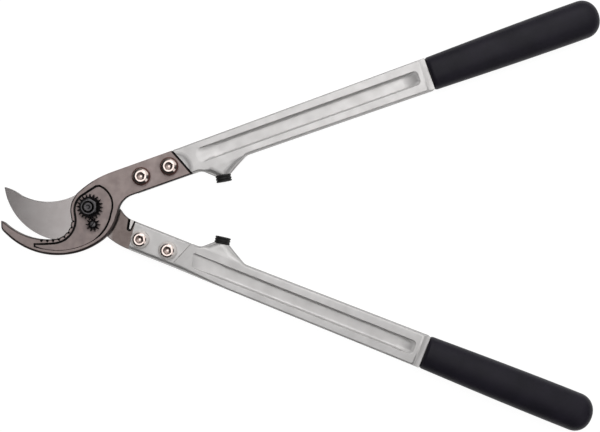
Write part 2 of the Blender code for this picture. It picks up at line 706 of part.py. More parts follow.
def handle_outline():
    """Plan of the forging from the lap to the bar inside the grip, with the buffer's boss."""
    frame = buffer_frame()
    seat_head = frame @ Vector((-BUFFER_SEAT_HALF_WIDTH, 0.0, -FIT_GAP))
    seat_grip = frame @ Vector((BUFFER_SEAT_HALF_WIDTH, 0.0, -FIT_GAP))
    toe_head = seat_head.x - BOSS_HEAD_TOE
    toe_grip = seat_grip.x + BOSS_GRIP_TOE
    lap_outer, lap_inner = slanted_end(LAP_START_X, -LAP_START_LEAN)
    end = HANDLE_END_X
    bar = GRIP_BAR_HALF_WIDTH
    corners = [
        (*lap_inner, 0),
        (toe_head, ARM_OFFSET - handle_half_width(toe_head), BOSS_TOE_RADIUS),
        (seat_head.x, seat_head.y, 0),
        (seat_grip.x, seat_grip.y, 0),
        (toe_grip, ARM_OFFSET - handle_half_width(toe_grip), BOSS_TOE_RADIUS),
        (end, ARM_OFFSET - handle_half_width(end), 0),
        (end, ARM_OFFSET - bar, 0),
        (end + GRIP_BAR_LENGTH, ARM_OFFSET - bar, GRIP_BAR_CORNER),
        (end + GRIP_BAR_LENGTH, ARM_OFFSET + bar, GRIP_BAR_CORNER),
        (end, ARM_OFFSET + bar, 0),
        (end, ARM_OFFSET + handle_half_width(end), 0),
        (TAPER_START_X, TANG_OUTER_Y, 0),
        (*lap_outer, 0),
    ]
    return rounded(corners)


def side_profile_cutter(name, profile, lean):
    """Prism across the handle from a side view of (x, z) points, its ends leaning like the tang's."""
    reach = 4 * TANG_HALF_WIDTH
    shift = math.tan(math.radians(lean)) * reach
    rings = [[(x + shift, ARM_OFFSET - reach, z) for x, z in profile],
             [(x - shift, ARM_OFFSET + reach, z) for x, z in profile]]
    return loft(name, rings)


def recess_cutter(name, side, start, runout, lean):
    """Tapered pocket for one face: rounded ends, drafted walls and a run-out towards the head."""
    floor = side * WEB_THICKNESS / 2
    top = side * (HANDLE_HALF + RECESS_DRAFT)
    end = HANDLE_END_X - RECESS_END_INSET
    rings = []
    for height, grow in ((floor, 0.0), (top, 1.0)):
        half = RECESS_HALF_WIDTH - RECESS_DRAFT * (1 - grow)
        left = start + runout * (1 - grow)
        right = end - RECESS_DRAFT * (1 - grow)
        outline = rounded([(left, ARM_OFFSET - half, RECESS_HEAD_CORNER),
                           (right, ARM_OFFSET - half, RECESS_GRIP_CORNER),
                           (right, ARM_OFFSET + half, RECESS_GRIP_CORNER),
                           (left + lean, ARM_OFFSET + half, RECESS_HEAD_CORNER)])
        rings.append(at_height(outline, height))
    return loft(name, rings)


def lap_profiles():
    """Side views of what is milled off the lap: the tang's seat, and the back's relief."""
    wall_x = TANG_END_X + 2 * FIT_GAP
    before = LAP_START_X - TANG_HALF_WIDTH
    above = 2 * HANDLE_THICKNESS
    seat = [(before, -PLAY), (wall_x, -PLAY), (wall_x, above), (before, above)]
    back = -PLAY - LAP_THICKNESS
    relief = [(before, back), (TANG_END_X, back), (TANG_END_X + LAP_RAMP_LENGTH, -HANDLE_HALF - FIT_GAP),
              (TANG_END_X + LAP_RAMP_LENGTH, -above), (before, -above)]
    return seat, relief


def ramp_cutter(bench):
    """Cone that slopes the forging's face down to the tang's end."""
    rise = RAMP_DEPTH + FIT_GAP
    face_radius = RAMP_FACE_RADIUS + RAMP_DRAFT * FIT_GAP / RAMP_DEPTH

    def build(draft):
        place = Matrix.Translation((0.0, 0.0, HANDLE_HALF + FIT_GAP - rise / 2))
        bmesh.ops.create_cone(draft, cap_ends=True, segments=ROUND_STEPS, depth=rise, matrix=place,
                              radius1=RAMP_FACE_RADIUS - RAMP_DRAFT, radius2=face_radius)

    cone = bench.cutter("tang_end_ramp", mesh_from("tang_end_ramp", build))
    cone.location = (TANG_END_X - RAMP_BEHIND_TANG_END, ARM_OFFSET - RAMP_OFF_CENTRE, 0.0)
    return cone


def collar_profile(side):
    """Side view of the thinner collar next to the grip and the bar inside the grip, for one face."""
    start = HANDLE_END_X - COLLAR_LENGTH
    far = HANDLE_END_X + GRIP_BAR_LENGTH + HANDLE_THICKNESS
    face = HANDLE_HALF - COLLAR_STEP
    outside = 2 * HANDLE_THICKNESS
    points = [(start, HANDLE_HALF + FIT_GAP), (start + COLLAR_SLOPE_LENGTH, face), (HANDLE_END_X, face),
              (HANDLE_END_X, GRIP_BAR_THICKNESS / 2), (far, GRIP_BAR_THICKNESS / 2), (far, outside),
              (start, outside)]
    return [(x, side * z) for x, z in points]


def handle_mesh(bench):
    """The handle forging, cut once at the pivot frame so that both handles share it."""
    blank = bench.cutter("handle_blank", plate("handle_blank", handle_outline(), -HANDLE_HALF, HANDLE_HALF))
    round_rims(blank, HANDLE_EDGE_RADIUS, 3)
    seat, relief = lap_profiles()
    tools = [bench.cutter("tang_seat", side_profile_cutter("tang_seat", seat, TANG_END_LEAN)),
             bench.cutter("lap_relief", side_profile_cutter("lap_relief", relief, TANG_END_LEAN)),
             ramp_cutter(bench)]
    faces = (("front", 1, RECESS_FRONT_START_X, RECESS_FRONT_RUNOUT, 0.0),
             ("back", -1, RECESS_BACK_START_X, RECESS_BACK_RUNOUT, RECESS_BACK_LEAN))
    for word, side, *ends in faces:
        recess, collar = f"recess_{word}", f"collar_{word}"
        tools.append(bench.cutter(recess, recess_cutter(recess, side, *ends)))
        tools.append(bench.cutter(collar, side_profile_cutter(collar, collar_profile(side), 0.0)))
        tools.append(boss_slope_cutter(bench, word, side))
    for number, x in enumerate(BOLT_XS, start=1):
        hole = bench.cutter(f"lap_hole_{number}", cylinder("lap_hole", BOLT_HOLE, -HANDLE_HALF, HANDLE_HALF))
        hole.location = (x, ARM_OFFSET, 0.0)
        tools.append(hole)
    stem_hole = cylinder("stem_hole", BUFFER_STEM_DIAMETER / 2 + FIT_GAP, -BUFFER_STEM_LENGTH - FIT_GAP, CUT_PAST)
    tools.append(bench.cutter("stem_hole", stem_hole))
    tools[-1].matrix_world = buffer_frame()
    for tool in tools:
        cut(blank, tool)
    mesh = evaluated_mesh(blank)
    bpy.data.objects.remove(blank)
    mesh.name = "handle_forging"
    return smooth(mesh)


def boss_slope_cutter(bench, word, side):
    """Wedge that thins the buffer's boss from the flange down to its seat."""
    frame = buffer_frame()
    hinge_y = ARM_OFFSET - handle_half_width(BUFFER_REACH)
    reach = HANDLE_THICKNESS
    drop = math.tan(math.radians(BOSS_SLOPE)) * reach
    start = frame.translation.x - BUFFER_SEAT_HALF_WIDTH - 2 * BOSS_HEAD_TOE
    end = frame.translation.x + BUFFER_SEAT_HALF_WIDTH + 2 * BOSS_GRIP_TOE
    section = [(hinge_y, side * HANDLE_HALF), (hinge_y - reach, side * (HANDLE_HALF - drop)),
               (hinge_y - reach, side * 2 * HANDLE_HALF), (hinge_y, side * 2 * HANDLE_HALF)]
    rings = [[(x, y, z) for y, z in section] for x in (start, end)]
    return bench.cutter(f"boss_slope_{word}", loft(f"boss_slope_{word}", rings))


def superellipse(half_width, half_thickness, x):
    """Ring of points across the grip at one place along it."""
    ring = []
    for i in range(GRIP_SECTION_POINTS):
        turn = 2 * math.pi * i / GRIP_SECTION_POINTS
        c, s = math.cos(turn), math.sin(turn)
        power = 2 / GRIP_SQUARENESS
        y = half_width * math.copysign(abs(c) ** power, c)
        z = half_thickness * math.copysign(abs(s) ** power, s)
        ring.append((x, ARM_OFFSET + y, z))
    return ring


def grip_halves(x):
    """Half width and half thickness of the grip at a place along it; its end carries the tool's weight."""
    ease = math.sin(math.pi / 2 * min(1.0, (x - GRIP_START_X) / GRIP_SWELL_LENGTH))
    width = GRIP_START_HALF_WIDTH + (GRIP_END_HALF_WIDTH - GRIP_START_HALF_WIDTH) * ease
    thickness = GRIP_START_HALF_THICKNESS + (STAND - GRIP_START_HALF_THICKNESS) * ease
    return width, thickness


def grip_stations():
    """Places along the grip, each with how far its section is drawn in by the lip or the rounded end."""
    swell_end = GRIP_END_X - GRIP_END_RADIUS
    stations = []
    for angle in (90, 60, 30, 0):
        turn = math.radians(angle)
        stations.append((GRIP_START_X + GRIP_LIP_RADIUS * (1 - math.sin(turn)),
                         GRIP_LIP_RADIUS * (1 - math.cos(turn))))
    for i in range(1, GRIP_STATIONS + 1):
        stations.append((GRIP_START_X + (swell_end - GRIP_START_X) * i / GRIP_STATIONS, 0.0))
    for angle in (20, 40, 60, 75, 90):
        turn = math.radians(angle)
        stations.append((swell_end + GRIP_END_RADIUS * math.sin(turn), GRIP_END_RADIUS * (1 - math.cos(turn))))
    return stations


def grip_mesh(bench):
    """Sleeve with a rolled lip, widening to a rounded end, bored for the handle's bar."""
    rings = []
    for x, shrink in grip_stations():
        width, thickness = grip_halves(x)
        rings.append(superellipse(width - shrink, thickness - shrink, x))
    sleeve = bench.cutter("grip_blank", loft("grip_blank", rings))
    start, end = HANDLE_END_X - CUT_PAST, HANDLE_END_X + GRIP_BAR_LENGTH + FIT_GAP
    half = GRIP_BAR_HALF_WIDTH + FIT_GAP
    corners = [(start, ARM_OFFSET - half), (end, ARM_OFFSET - half), (end, ARM_OFFSET + half),
               (start, ARM_OFFSET + half)]
    bore_half = GRIP_BAR_THICKNESS / 2 + FIT_GAP
    cut(sleeve, bench.cutter("grip_bore", plate("grip_bore", corners, -bore_half, bore_half)))
    mesh = evaluated_mesh(sleeve)
    bpy.data.objects.remove(sleeve)
    mesh.name = "grip_sleeve"
    return smooth(mesh, 50)


def buffer_mesh():
    """Ribbed rubber stop with its stem: lands with grooves between them."""
    radius = BUFFER_DIAMETER / 2
    low = radius - BUFFER_GROOVE
    band = BUFFER_HEIGHT / (2 * BUFFER_LANDS - 1)
    stem = BUFFER_STEM_DIAMETER / 2
    profile = [(0.0, BUFFER_HEIGHT), (radius - EDGE_BREAK, BUFFER_HEIGHT), (radius, BUFFER_HEIGHT - EDGE_BREAK)]
    for i in range(BUFFER_LANDS - 1):
        top = BUFFER_HEIGHT - band * (2 * i + 1)
        profile += [(radius, top), (low, top - BUFFER_GROOVE / 2), (low, top - band + BUFFER_GROOVE / 2),
                    (radius, top - band)]
    profile += [(radius, 0.0), (stem, 0.0), (stem, -BUFFER_STEM_LENGTH), (0.0, -BUFFER_STEM_LENGTH)]
    return turned("buffer", profile)


def gear_outline(teeth, root_width):
    """Outline of a small toothed wheel with straight-sided teeth, first tooth towards +X."""
    tip_radius = GEAR_MODULE * (teeth / 2 + 1)
    root_radius = GEAR_MODULE * (teeth / 2 - 1) - TOOTH_TIP_CLEARANCE
    tip_half = math.asin(TOOTH_TIP_WIDTH / 2 / tip_radius)
    root_half = math.asin(root_width / 2 / root_radius)
    outline = []
    for i in range(teeth):
        middle = 2 * math.pi * i / teeth
        for radius, turn in ((root_radius, -root_half), (tip_radius, -tip_half),
                             (tip_radius, tip_half), (root_radius, root_half)):
            outline.append((radius * math.cos(middle + turn), radius * math.sin(middle + turn)))
    return outline


def wheel_place():
    """Centre of the lock wheel in the hook arm."""
    x, y = on_circle((0.0, 0.0), GEAR_CENTRE_DISTANCE, WHEEL_DIRECTION)
    return (x, y, 0.0)


def chamfered_hexagon(name, across_flats, bottom, top, chamfer):
    """Hexagon whose top corners are turned off by a cone, as on a real nut or bolt head."""
    corner = across_flats / math.sqrt(3)
    flat = across_flats / 2

    def ring(largest, height):
        points = []
        for i in range(HEXAGON_POINTS):
            angle = 2 * math.pi * i / HEXAGON_POINTS
            reach = flat / math.cos((angle + math.pi / 6) % (math.pi / 3) - math.pi / 6)
            radius = min(reach, largest)
            points.append((radius * math.cos(angle), radius * math.sin(angle), height))
        return points

    rings = [ring(corner, bottom), ring(corner, top - chamfer), ring(flat - HEXAGON_FACE_INSET, top)]
    return loft(name, rings)


def make_adjusting_nut(bench, arm):
    """Toothed flange and hexagon in one piece, bored for the pivot bolt."""
    holder = bpy.data.objects.new("adjusting_nut_axis", None)
    bench.parts.objects.link(holder)
    holder.parent = arm
    flange = plate("adjusting_nut", gear_outline(NUT_TEETH, NUT_TOOTH_ROOT_WIDTH), GEAR_BASE, GEAR_TOP)
    nut = bench.piece("adjusting_nut", flange, BLACK_STEEL, holder)
    pitch = 360 / NUT_TEETH
    nut.rotation_euler = (0.0, 0.0, math.radians(WHEEL_DIRECTION - MESH_SHIFT + pitch / 2))
    hexagon_top = bench.cutter("nut_hexagon", chamfered_hexagon("nut_hexagon", NUT_FLATS, GEAR_BASE + FIT_GAP,
                                                                NUT_TOP, NUT_HEX_CHAMFER), holder)
    hexagon_top.rotation_euler = (0.0, 0.0, math.radians(NUT_HEX_TURN))
    cut(nut, hexagon_top, "UNION")
    bore = cylinder("nut_bore", PIVOT_BOLT_DIAMETER / 2 + FIT_GAP, GEAR_BASE - FIT_GAP, NUT_TOP + FIT_GAP)
    cut(nut, bench.cutter("nut_bore", bore, holder))
    return nut


def make_lock_wheel(bench, arm):
    """Ten-tooth wheel in mesh with the nut, on its slotted screw."""
    holder = bpy.data.objects.new("lock_wheel_axis", None)
    bench.parts.objects.link(holder)
    holder.parent = arm
    holder.location = wheel_place()
    wheel = bench.piece("lock_wheel", plate("lock_wheel", gear_outline(WHEEL_TEETH, WHEEL_TOOTH_ROOT_WIDTH),
                                            GEAR_BASE, GEAR_TOP), BLACK_STEEL, holder)
    wheel.rotation_euler = (0.0, 0.0, math.radians(WHEEL_DIRECTION + 180 + 2 * MESH_SHIFT))
    bore = cylinder("wheel_bore", WHEEL_SCREW_DIAMETER / 2 + FIT_GAP, GEAR_BASE - FIT_GAP, GEAR_TOP + FIT_GAP)
    cut(wheel, bench.cutter("wheel_bore", bore, holder))

    head_bottom = GEAR_TOP + FIT_GAP
    head_top = head_bottom + WHEEL_SCREW_HEAD_HEIGHT
    shank = WHEEL_SCREW_DIAMETER / 2
    head = WHEEL_SCREW_HEAD_DIAMETER / 2
    bottom = PANEL_FACE - WHEEL_SCREW_LENGTH
    profile = [(0.0, head_top), (head - EDGE_BREAK, head_top), (head, head_top - EDGE_BREAK),
               (head, head_bottom), (shank, head_bottom), (shank, bottom), (0.0, bottom)]
    screw = bench.piece("lock_wheel_screw", turned("lock_wheel_screw", profile), BLACK_STEEL, arm)
    screw.location = wheel_place()
    slot_half = SCREW_SLOT_WIDTH / 2
    slot = plate("screw_slot", [(-2 * head, -slot_half), (2 * head, -slot_half), (2 * head, slot_half),
                                (-2 * head, slot_half)], head_top - SCREW_SLOT_DEPTH, head_top + FIT_GAP)
    tool = bench.cutter("screw_slot", slot, arm)
    tool.location = wheel_place()
    tool.rotation_euler = (0.0, 0.0, math.radians(SCREW_SLOT_TURN))
    cut(screw, tool)
    return wheel


def make_pivot(bench, hook_arm, blade_arm):
    """Pivot bolt and washer on the hook arm, bearing bush on the blade arm."""
    shank = PIVOT_BOLT_DIAMETER / 2
    head_bottom = PIVOT_HEAD_TOP - PIVOT_HEAD_HEIGHT
    head = chamfered_hexagon("pivot_bolt", PIVOT_HEAD_FLATS, -PIVOT_HEAD_TOP, -head_bottom, PIVOT_HEAD_CHAMFER)
    head.transform(Matrix.Rotation(math.pi, 4, "X"))
    bolt = bench.piece("pivot_bolt", head, BLACK_STEEL, hook_arm)
    tip = NUT_TOP + PIVOT_BOLT_STAND_OUT
    rod = turned("pivot_shank", [(0.0, tip), (shank - PIVOT_TIP_CHAMFER, tip), (shank, tip - PIVOT_TIP_CHAMFER),
                                 (shank, head_bottom + FIT_GAP), (0.0, head_bottom + FIT_GAP)])
    cut(bolt, bench.cutter("pivot_shank", rod, hook_arm), "UNION")
    washer_bottom = PIVOT_WASHER_TOP - PIVOT_WASHER_THICKNESS
    washer = turned("pivot_washer", ring_profile(PIVOT_WASHER_DIAMETER / 2, BUSH_BORE, washer_bottom,
                                                 PIVOT_WASHER_TOP))
    bench.piece("pivot_washer", washer, PLATED, hook_arm)
    bush = turned("pivot_bush", ring_profile(BUSH_RADIUS, BUSH_BORE, BLADE_BACK + PLAY, PANEL_FACE - PLAY))
    bench.piece("pivot_bush", bush, BRONZE, blade_arm)


def ring_profile(outer, inner, bottom, top):
    """Profile of a plain ring, down its outside and back up its bore."""
    return [(outer, top), (outer, bottom), (inner, bottom), (inner, top)]


def tang_bolt_mesh(grip_length):
    """Flanged button-head bolt, its head's seat at z = 0, reaching grip_length below it."""
    shank = BOLT_DIAMETER / 2
    face = BOLT_FACE_DIAMETER / 2
    dome = BOLT_DOME_DIAMETER / 2
    profile = [(0.0, BOLT_HEAD_HEIGHT), (face, BOLT_HEAD_HEIGHT)]
    for angle in (25, 50, 75):
        turn = math.radians(angle)
        profile.append((face + (dome - face) * math.sin(turn),
                        BOLT_FLANGE_THICKNESS + (BOLT_HEAD_HEIGHT - BOLT_FLANGE_THICKNESS) * math.cos(turn)))
    flange = BOLT_FLANGE_DIAMETER / 2
    profile += [(dome, BOLT_FLANGE_THICKNESS), (flange, BOLT_FLANGE_RIM), (flange, 0.0),
                (shank, 0.0), (shank, -grip_length), (0.0, -grip_length)]
    return turned("tang_bolt", profile)


def fasten(bench, arm, name, side, head_seat, back_face):
    """Two bolts through a tang and its lap, each with a washer and a nut behind."""
    for word, x in zip(("front", "rear"), BOLT_XS):
        place = (x, side * ARM_OFFSET)
        nut_top = back_face - FIT_GAP - WASHER_THICKNESS - FIT_GAP
        nut_bottom = nut_top - NUT_HEIGHT
        length = head_seat - nut_bottom + THREAD_STAND_OUT
        bolt = bench.piece(f"{name}_bolt_{word}", tang_bolt_mesh(length), PLATED, arm)
        bolt.location = (*place, head_seat)
        socket = hexagon("socket", SOCKET_FLATS, BOLT_HEAD_HEIGHT - SOCKET_DEPTH, BOLT_HEAD_HEIGHT + FIT_GAP)
        tool = bench.cutter(f"socket_{name}_{word}", socket, arm)
        tool.location = (*place, head_seat)
        cut(bolt, tool)
        washer = turned("washer", ring_profile(WASHER_DIAMETER / 2, BOLT_HOLE,
                                               back_face - FIT_GAP - WASHER_THICKNESS, back_face - FIT_GAP))
        bench.piece(f"{name}_washer_{word}", washer, PLATED, arm).location = (*place, 0.0)
        nut = bench.piece(f"{name}_nut_{word}", chamfered_hexagon("nut", NUT_ACROSS_FLATS, -nut_top, -nut_bottom,
                                                                  NUT_CHAMFER), PLATED, arm)
        nut.data.transform(Matrix.Rotation(math.pi, 4, "X"))
        nut.location = (*place, 0.0)
        bore = bench.cutter(f"nut_bore_{name}_{word}", cylinder("nut_bore", BOLT_HOLE, nut_bottom - FIT_GAP,
                                                                nut_top + FIT_GAP), arm)
        bore.location = (*place, 0.0)
        cut(nut, bore)


def make_handles(bench, hook_arm, blade_arm):
    """Both handles with grips and buffers: the lower set is the upper one turned over."""
    forging = handle_mesh(bench)
    sleeve = grip_mesh(bench)
    buffer = buffer_mesh()
    for word, arm, flip in (("upper", hook_arm, 0.0), ("lower", blade_arm, math.pi)):
        over = Matrix.Rotation(flip, 4, "X")
        bench.piece(f"{word}_handle", forging, ALUMINIUM, arm).matrix_local = over
        bench.piece(f"{word}_grip", sleeve, GRIP_PLASTIC, arm).matrix_local = over
        bench.piece(f"{word}_buffer", buffer, RUBBER, arm).matrix_local = over @ buffer_frame()


def main():
    """Build the whole tool."""
    bench = Bench()
    hook_arm = bench.pivot_empty("hook_arm", ARM_ANGLE)
    blade_arm = bench.pivot_empty("blade_arm", -ARM_ANGLE)
    make_hook(bench, hook_arm)
    make_blade(bench, blade_arm)
    make_handles(bench, hook_arm, blade_arm)
    make_pivot(bench, hook_arm, blade_arm)
    make_adjusting_nut(bench, hook_arm)
    make_lock_wheel(bench, hook_arm)
    fasten(bench, hook_arm, "upper", 1, HOOK_FRONT + FIT_GAP, -PLAY - LAP_THICKNESS)
    fasten(bench, blade_arm, "lower", -1, PLAY + LAP_THICKNESS + FIT_GAP, BLADE_BACK)
    bpy.context.view_layer.update()


main()
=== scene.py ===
"""Bypass lopper, dressed for the camera.

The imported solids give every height, pivot and bolt position. This script builds the visible pieces
again with finer curves, rounded rims, drafted recesses and surface finishes, each in the place of its
solid, and sets up a plain studio over the tool as it lies on its back.

Lengths are metres and angles are degrees. Each arm is built with +X along its handle and z = 0 in the
plane where blade and hook slide on each other, and is then turned out from the middle line.
"""

import json
import logging
import math
from dataclasses import dataclass, field, replace
from enum import Enum
from typing import Any, ClassVar, Iterator, Mapping, Sequence

import bmesh
import bpy
from mathutils import Matrix, Vector


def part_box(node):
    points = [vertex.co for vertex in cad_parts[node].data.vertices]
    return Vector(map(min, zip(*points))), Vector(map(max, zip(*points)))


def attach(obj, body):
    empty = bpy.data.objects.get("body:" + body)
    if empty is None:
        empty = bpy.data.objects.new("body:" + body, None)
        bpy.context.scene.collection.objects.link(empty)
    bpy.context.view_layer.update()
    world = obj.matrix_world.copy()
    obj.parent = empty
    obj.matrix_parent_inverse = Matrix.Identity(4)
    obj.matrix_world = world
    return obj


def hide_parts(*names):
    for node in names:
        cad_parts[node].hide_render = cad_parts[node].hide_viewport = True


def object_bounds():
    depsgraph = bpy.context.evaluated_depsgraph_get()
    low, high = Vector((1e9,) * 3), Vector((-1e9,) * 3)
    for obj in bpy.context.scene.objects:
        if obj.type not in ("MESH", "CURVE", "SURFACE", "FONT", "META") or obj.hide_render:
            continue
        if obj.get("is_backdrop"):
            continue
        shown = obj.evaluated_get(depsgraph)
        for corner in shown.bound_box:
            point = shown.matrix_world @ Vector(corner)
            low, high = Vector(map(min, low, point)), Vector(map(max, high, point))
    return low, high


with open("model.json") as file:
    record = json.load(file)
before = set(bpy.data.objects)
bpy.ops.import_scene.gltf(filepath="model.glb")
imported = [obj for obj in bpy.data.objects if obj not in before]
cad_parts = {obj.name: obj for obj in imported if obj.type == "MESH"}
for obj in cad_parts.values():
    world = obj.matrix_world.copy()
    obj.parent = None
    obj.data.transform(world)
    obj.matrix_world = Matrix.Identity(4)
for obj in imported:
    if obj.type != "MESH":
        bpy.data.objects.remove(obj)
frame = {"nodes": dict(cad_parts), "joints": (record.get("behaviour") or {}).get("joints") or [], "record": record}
CAD_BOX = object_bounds()

Point = tuple[float, float]
Point3 = tuple[float, float, float]
Points = tuple[Point, ...]
Outline = list[Point]
Colour = tuple[float, float, float, float]
Mesh = bpy.types.Mesh
Tree = bpy.types.NodeTree
Socket = bpy.types.NodeSocket

MM = 0.001
# Gap that lets one piece run in another.
CLEARANCE = 0.3 * MM
# How far a cutter stands past a face, so that it leaves no skin, and how far one ends beyond it.
PAST = 0.02 * MM
BEYOND = MM
# Shortest chord or smallest fillet that an outline keeps, and the least share that a mitre may stretch by.
SHORTEST = 0.05 * MM
MITRE_LIMIT = 0.5
# Facets: degrees to a chord of an arc, a rim and a swept edge, and counts for the other curves.
ARC_STEP = 2.0
RIM_STEP = 15
EDGE_STEP = 10
ROUND_STEPS = 72
HOLE_STEPS = 32
HEXAGON_STEPS = 72
BEND_STEPS = 5
FILLET_STEPS = 8
EASE_REACH = 3
# Courses of a chamfer's lower and upper corner, as (inset, drop) shares of its width.
CHAMFER_FOOT = ((0.0, 0.90), (0.0, 0.70), (0.20, 0.56))
CHAMFER_HEAD = ((0.70, 0.21), (1.0, 0.0), (1.45, 0.0))
# How upright a normal is on a flat face, on a nearly flat one and on the steepest slope that counts as level.
FLAT, NEAR_FLAT, STEEP = 0.99, 0.9, 0.5
# How far a hexagon's turned face reaches past its flats.
CROWN_REACH = 0.2 * MM
SPARES = ("first", "second", "third", "fourth")

log = logging.getLogger("lopper")


class Side(Enum):
    """The two arms, told apart by the side of the middle line that their handle lies on."""

    UPPER = 1
    LOWER = -1

    @property
    def word(self) -> str:
        """Word that the arm's pieces are named with."""
        return self.name.lower()


class Rim(Enum):
    """How the edge round a plate's face is broken."""

    ROUND = "round"
    CHAMFER = "chamfer"


class Job(Enum):
    """What a boolean does with its tools."""

    CUT = "DIFFERENCE"
    JOIN = "UNION"


# Plan geometry

def on_circle(centre: Point, radius: float, angle: float) -> Point:
    """Point on a circle in the plane."""
    turn = math.radians(angle)
    return (centre[0] + radius * math.cos(turn), centre[1] + radius * math.sin(turn))


def angle_from(centre: Point, point: Point) -> float:
    """Direction from a centre to a point, from 0 to 360."""
    return math.degrees(math.atan2(point[1] - centre[1], point[0] - centre[0])) % 360


def arc(centre: Point, radius: float, start: float, end: float) -> Outline:
    """Points along a circle from one angle to another.

    Args:
        centre: Centre of the circle.
        radius: Radius of the circle.
        start: Angle of the first point.
        end: Angle of the last point, which may be the smaller one.

    Returns:
        The points, both ends included, about ARC_STEP apart.
    """
    steps = max(2, round(abs(end - start) / ARC_STEP))
    return [on_circle(centre, radius, start + (end - start) * i / steps) for i in range(steps + 1)]


def arc_through(first: Point, second: Point, third: Point) -> Outline:
    """Points of the arc from the first to the third point that passes through the second.

    Args:
        first: Start of the arc.
        second: Any point between its ends.
        third: End of the arc.

    Returns:
        The points, both ends included.
    """
    ax, ay = first[0] - third[0], first[1] - third[1]
    bx, by = second[0] - third[0], second[1] - third[1]
    cross = 2 * (ax * by - ay * bx)
    a2, b2 = ax * ax + ay * ay, bx * bx + by * by
    dx, dy = (by * a2 - ay * b2) / cross, (ax * b2 - bx * a2) / cross
    centre = (third[0] + dx, third[1] + dy)
    start, middle, end = (angle_from(centre, point) for point in (first, second, third))
    turn = (middle - start) % 360 + (end - middle) % 360
    return arc(centre, math.hypot(dx, dy), start, start + (turn if turn < 360 else turn - 720))


def filleted(corners: Sequence[Point3], steps: int = FILLET_STEPS) -> Outline:
    """Round the corners of a polygon.

    Args:
        corners: Each corner as (x, y, fillet radius); a radius of 0 keeps it sharp.
        steps: Number of chords in each fillet, so that like polygons get as many points.

    Returns:
        The rounded outline, in the order of the corners.
    """
    outline: Outline = []
    for i, (x, y, radius) in enumerate(corners):
        if radius <= 0:
            outline.append((x, y))
            continue
        corner = Vector((x, y))
        before = (Vector(corners[i - 1][:2]) - corner).normalized()
        after = (Vector(corners[(i + 1) % len(corners)][:2]) - corner).normalized()
        half = before.angle(after) / 2
        reach = radius / math.tan(half)
        centre = corner + (before + after).normalized() * radius / math.sin(half)
        start = angle_from(centre, corner + before * reach)
        sweep = (angle_from(centre, corner + after * reach) - start + 180) % 360 - 180
        outline += [on_circle(centre, radius, start + sweep * k / steps) for k in range(steps + 1)]
    return outline


def filleted_inset(corners: Sequence[Point3], width: float) -> Outline:
    """Filleted polygon moved inwards, with as many points at any width.

    Args:
        corners: Counter-clockwise corners as (x, y, fillet radius).
        width: How far the sides move.

    Returns:
        The moved outline: fillets of outer corners shrink with it and those of inner corners grow.
    """
    plan = inset([corner[:2] for corner in corners], [width] * len(corners))
    shrunk = []
    for i, (x, y, radius) in enumerate(corners):
        before, after = Vector(corners[i - 1][:2]), Vector(corners[(i + 1) % len(corners)][:2])
        here = Vector((x, y))
        turn = (here - before).normalized().cross((after - here).normalized())
        left = max(SHORTEST, radius - math.copysign(width, turn)) if radius else 0.0
        shrunk.append((*plan[i], left))
    return filleted(shrunk)


def spaced(outline: Outline, nearest: float = SHORTEST) -> Outline:
    """Leave out the points of a closed outline that fall on the one before."""
    kept: Outline = []
    for point in outline:
        if not kept or math.dist(point, kept[-1]) > nearest:
            kept.append(point)
    if math.dist(kept[0], kept[-1]) < nearest:
        kept.pop()
    return kept


def inset(outline: Outline, widths: Sequence[float]) -> Outline:
    """Move each point of a counter-clockwise outline inwards.

    Args:
        outline: Closed outline.
        widths: How far each point moves; a negative width moves it outwards.

    Returns:
        The moved outline, with as many points.
    """
    shifted: Outline = []
    for i, (x, y) in enumerate(outline):
        here, before, after = Vector((x, y)), Vector(outline[i - 1]), Vector(outline[(i + 1) % len(outline)])
        along_in, along_out = (here - before).normalized(), (after - here).normalized()
        bisector = Vector((-along_in.y - along_out.y, along_in.x + along_out.x)).normalized()
        stretch = max(MITRE_LIMIT, bisector.dot(Vector((-along_in.y, along_in.x))))
        shift = bisector * widths[i] / stretch
        shifted.append((x + shift.x, y + shift.y))
    return shifted


def eased(widths: Sequence[float]) -> list[float]:
    """Spread the steps in a closed list of widths over a few neighbours on each side."""
    count = len(widths)
    span = range(-EASE_REACH, EASE_REACH + 1)
    return [sum(widths[(i + k) % count] for k in span) / len(span) for i in range(count)]


def bend(start: Point, corner: Point, end: Point, steps: int = BEND_STEPS) -> Outline:
    """Smooth bend that leaves start towards a corner and reaches end coming from it."""
    points: Outline = []
    for i in range(steps + 1):
        t = i / steps
        points.append(tuple((1 - t) ** 2 * a + 2 * t * (1 - t) * b + t * t * c
                            for a, b, c in zip(start, corner, end)))
    return points


def s_curve(start: Point, end: Point, steps: int = 10) -> Outline:
    """Profile that goes from one level to another and runs out flat at both."""
    points: Outline = []
    for i in range(steps + 1):
        t = i / steps
        x = start[0] + (end[0] - start[0]) * t
        points.append((x, start[1] + (end[1] - start[1]) * t * t * (3 - 2 * t)))
    return points


def at_height(outline: Outline, height: float) -> list[Point3]:
    """Outline as points in space at one height."""
    return [(x, y, height) for x, y in outline]


# Meshes

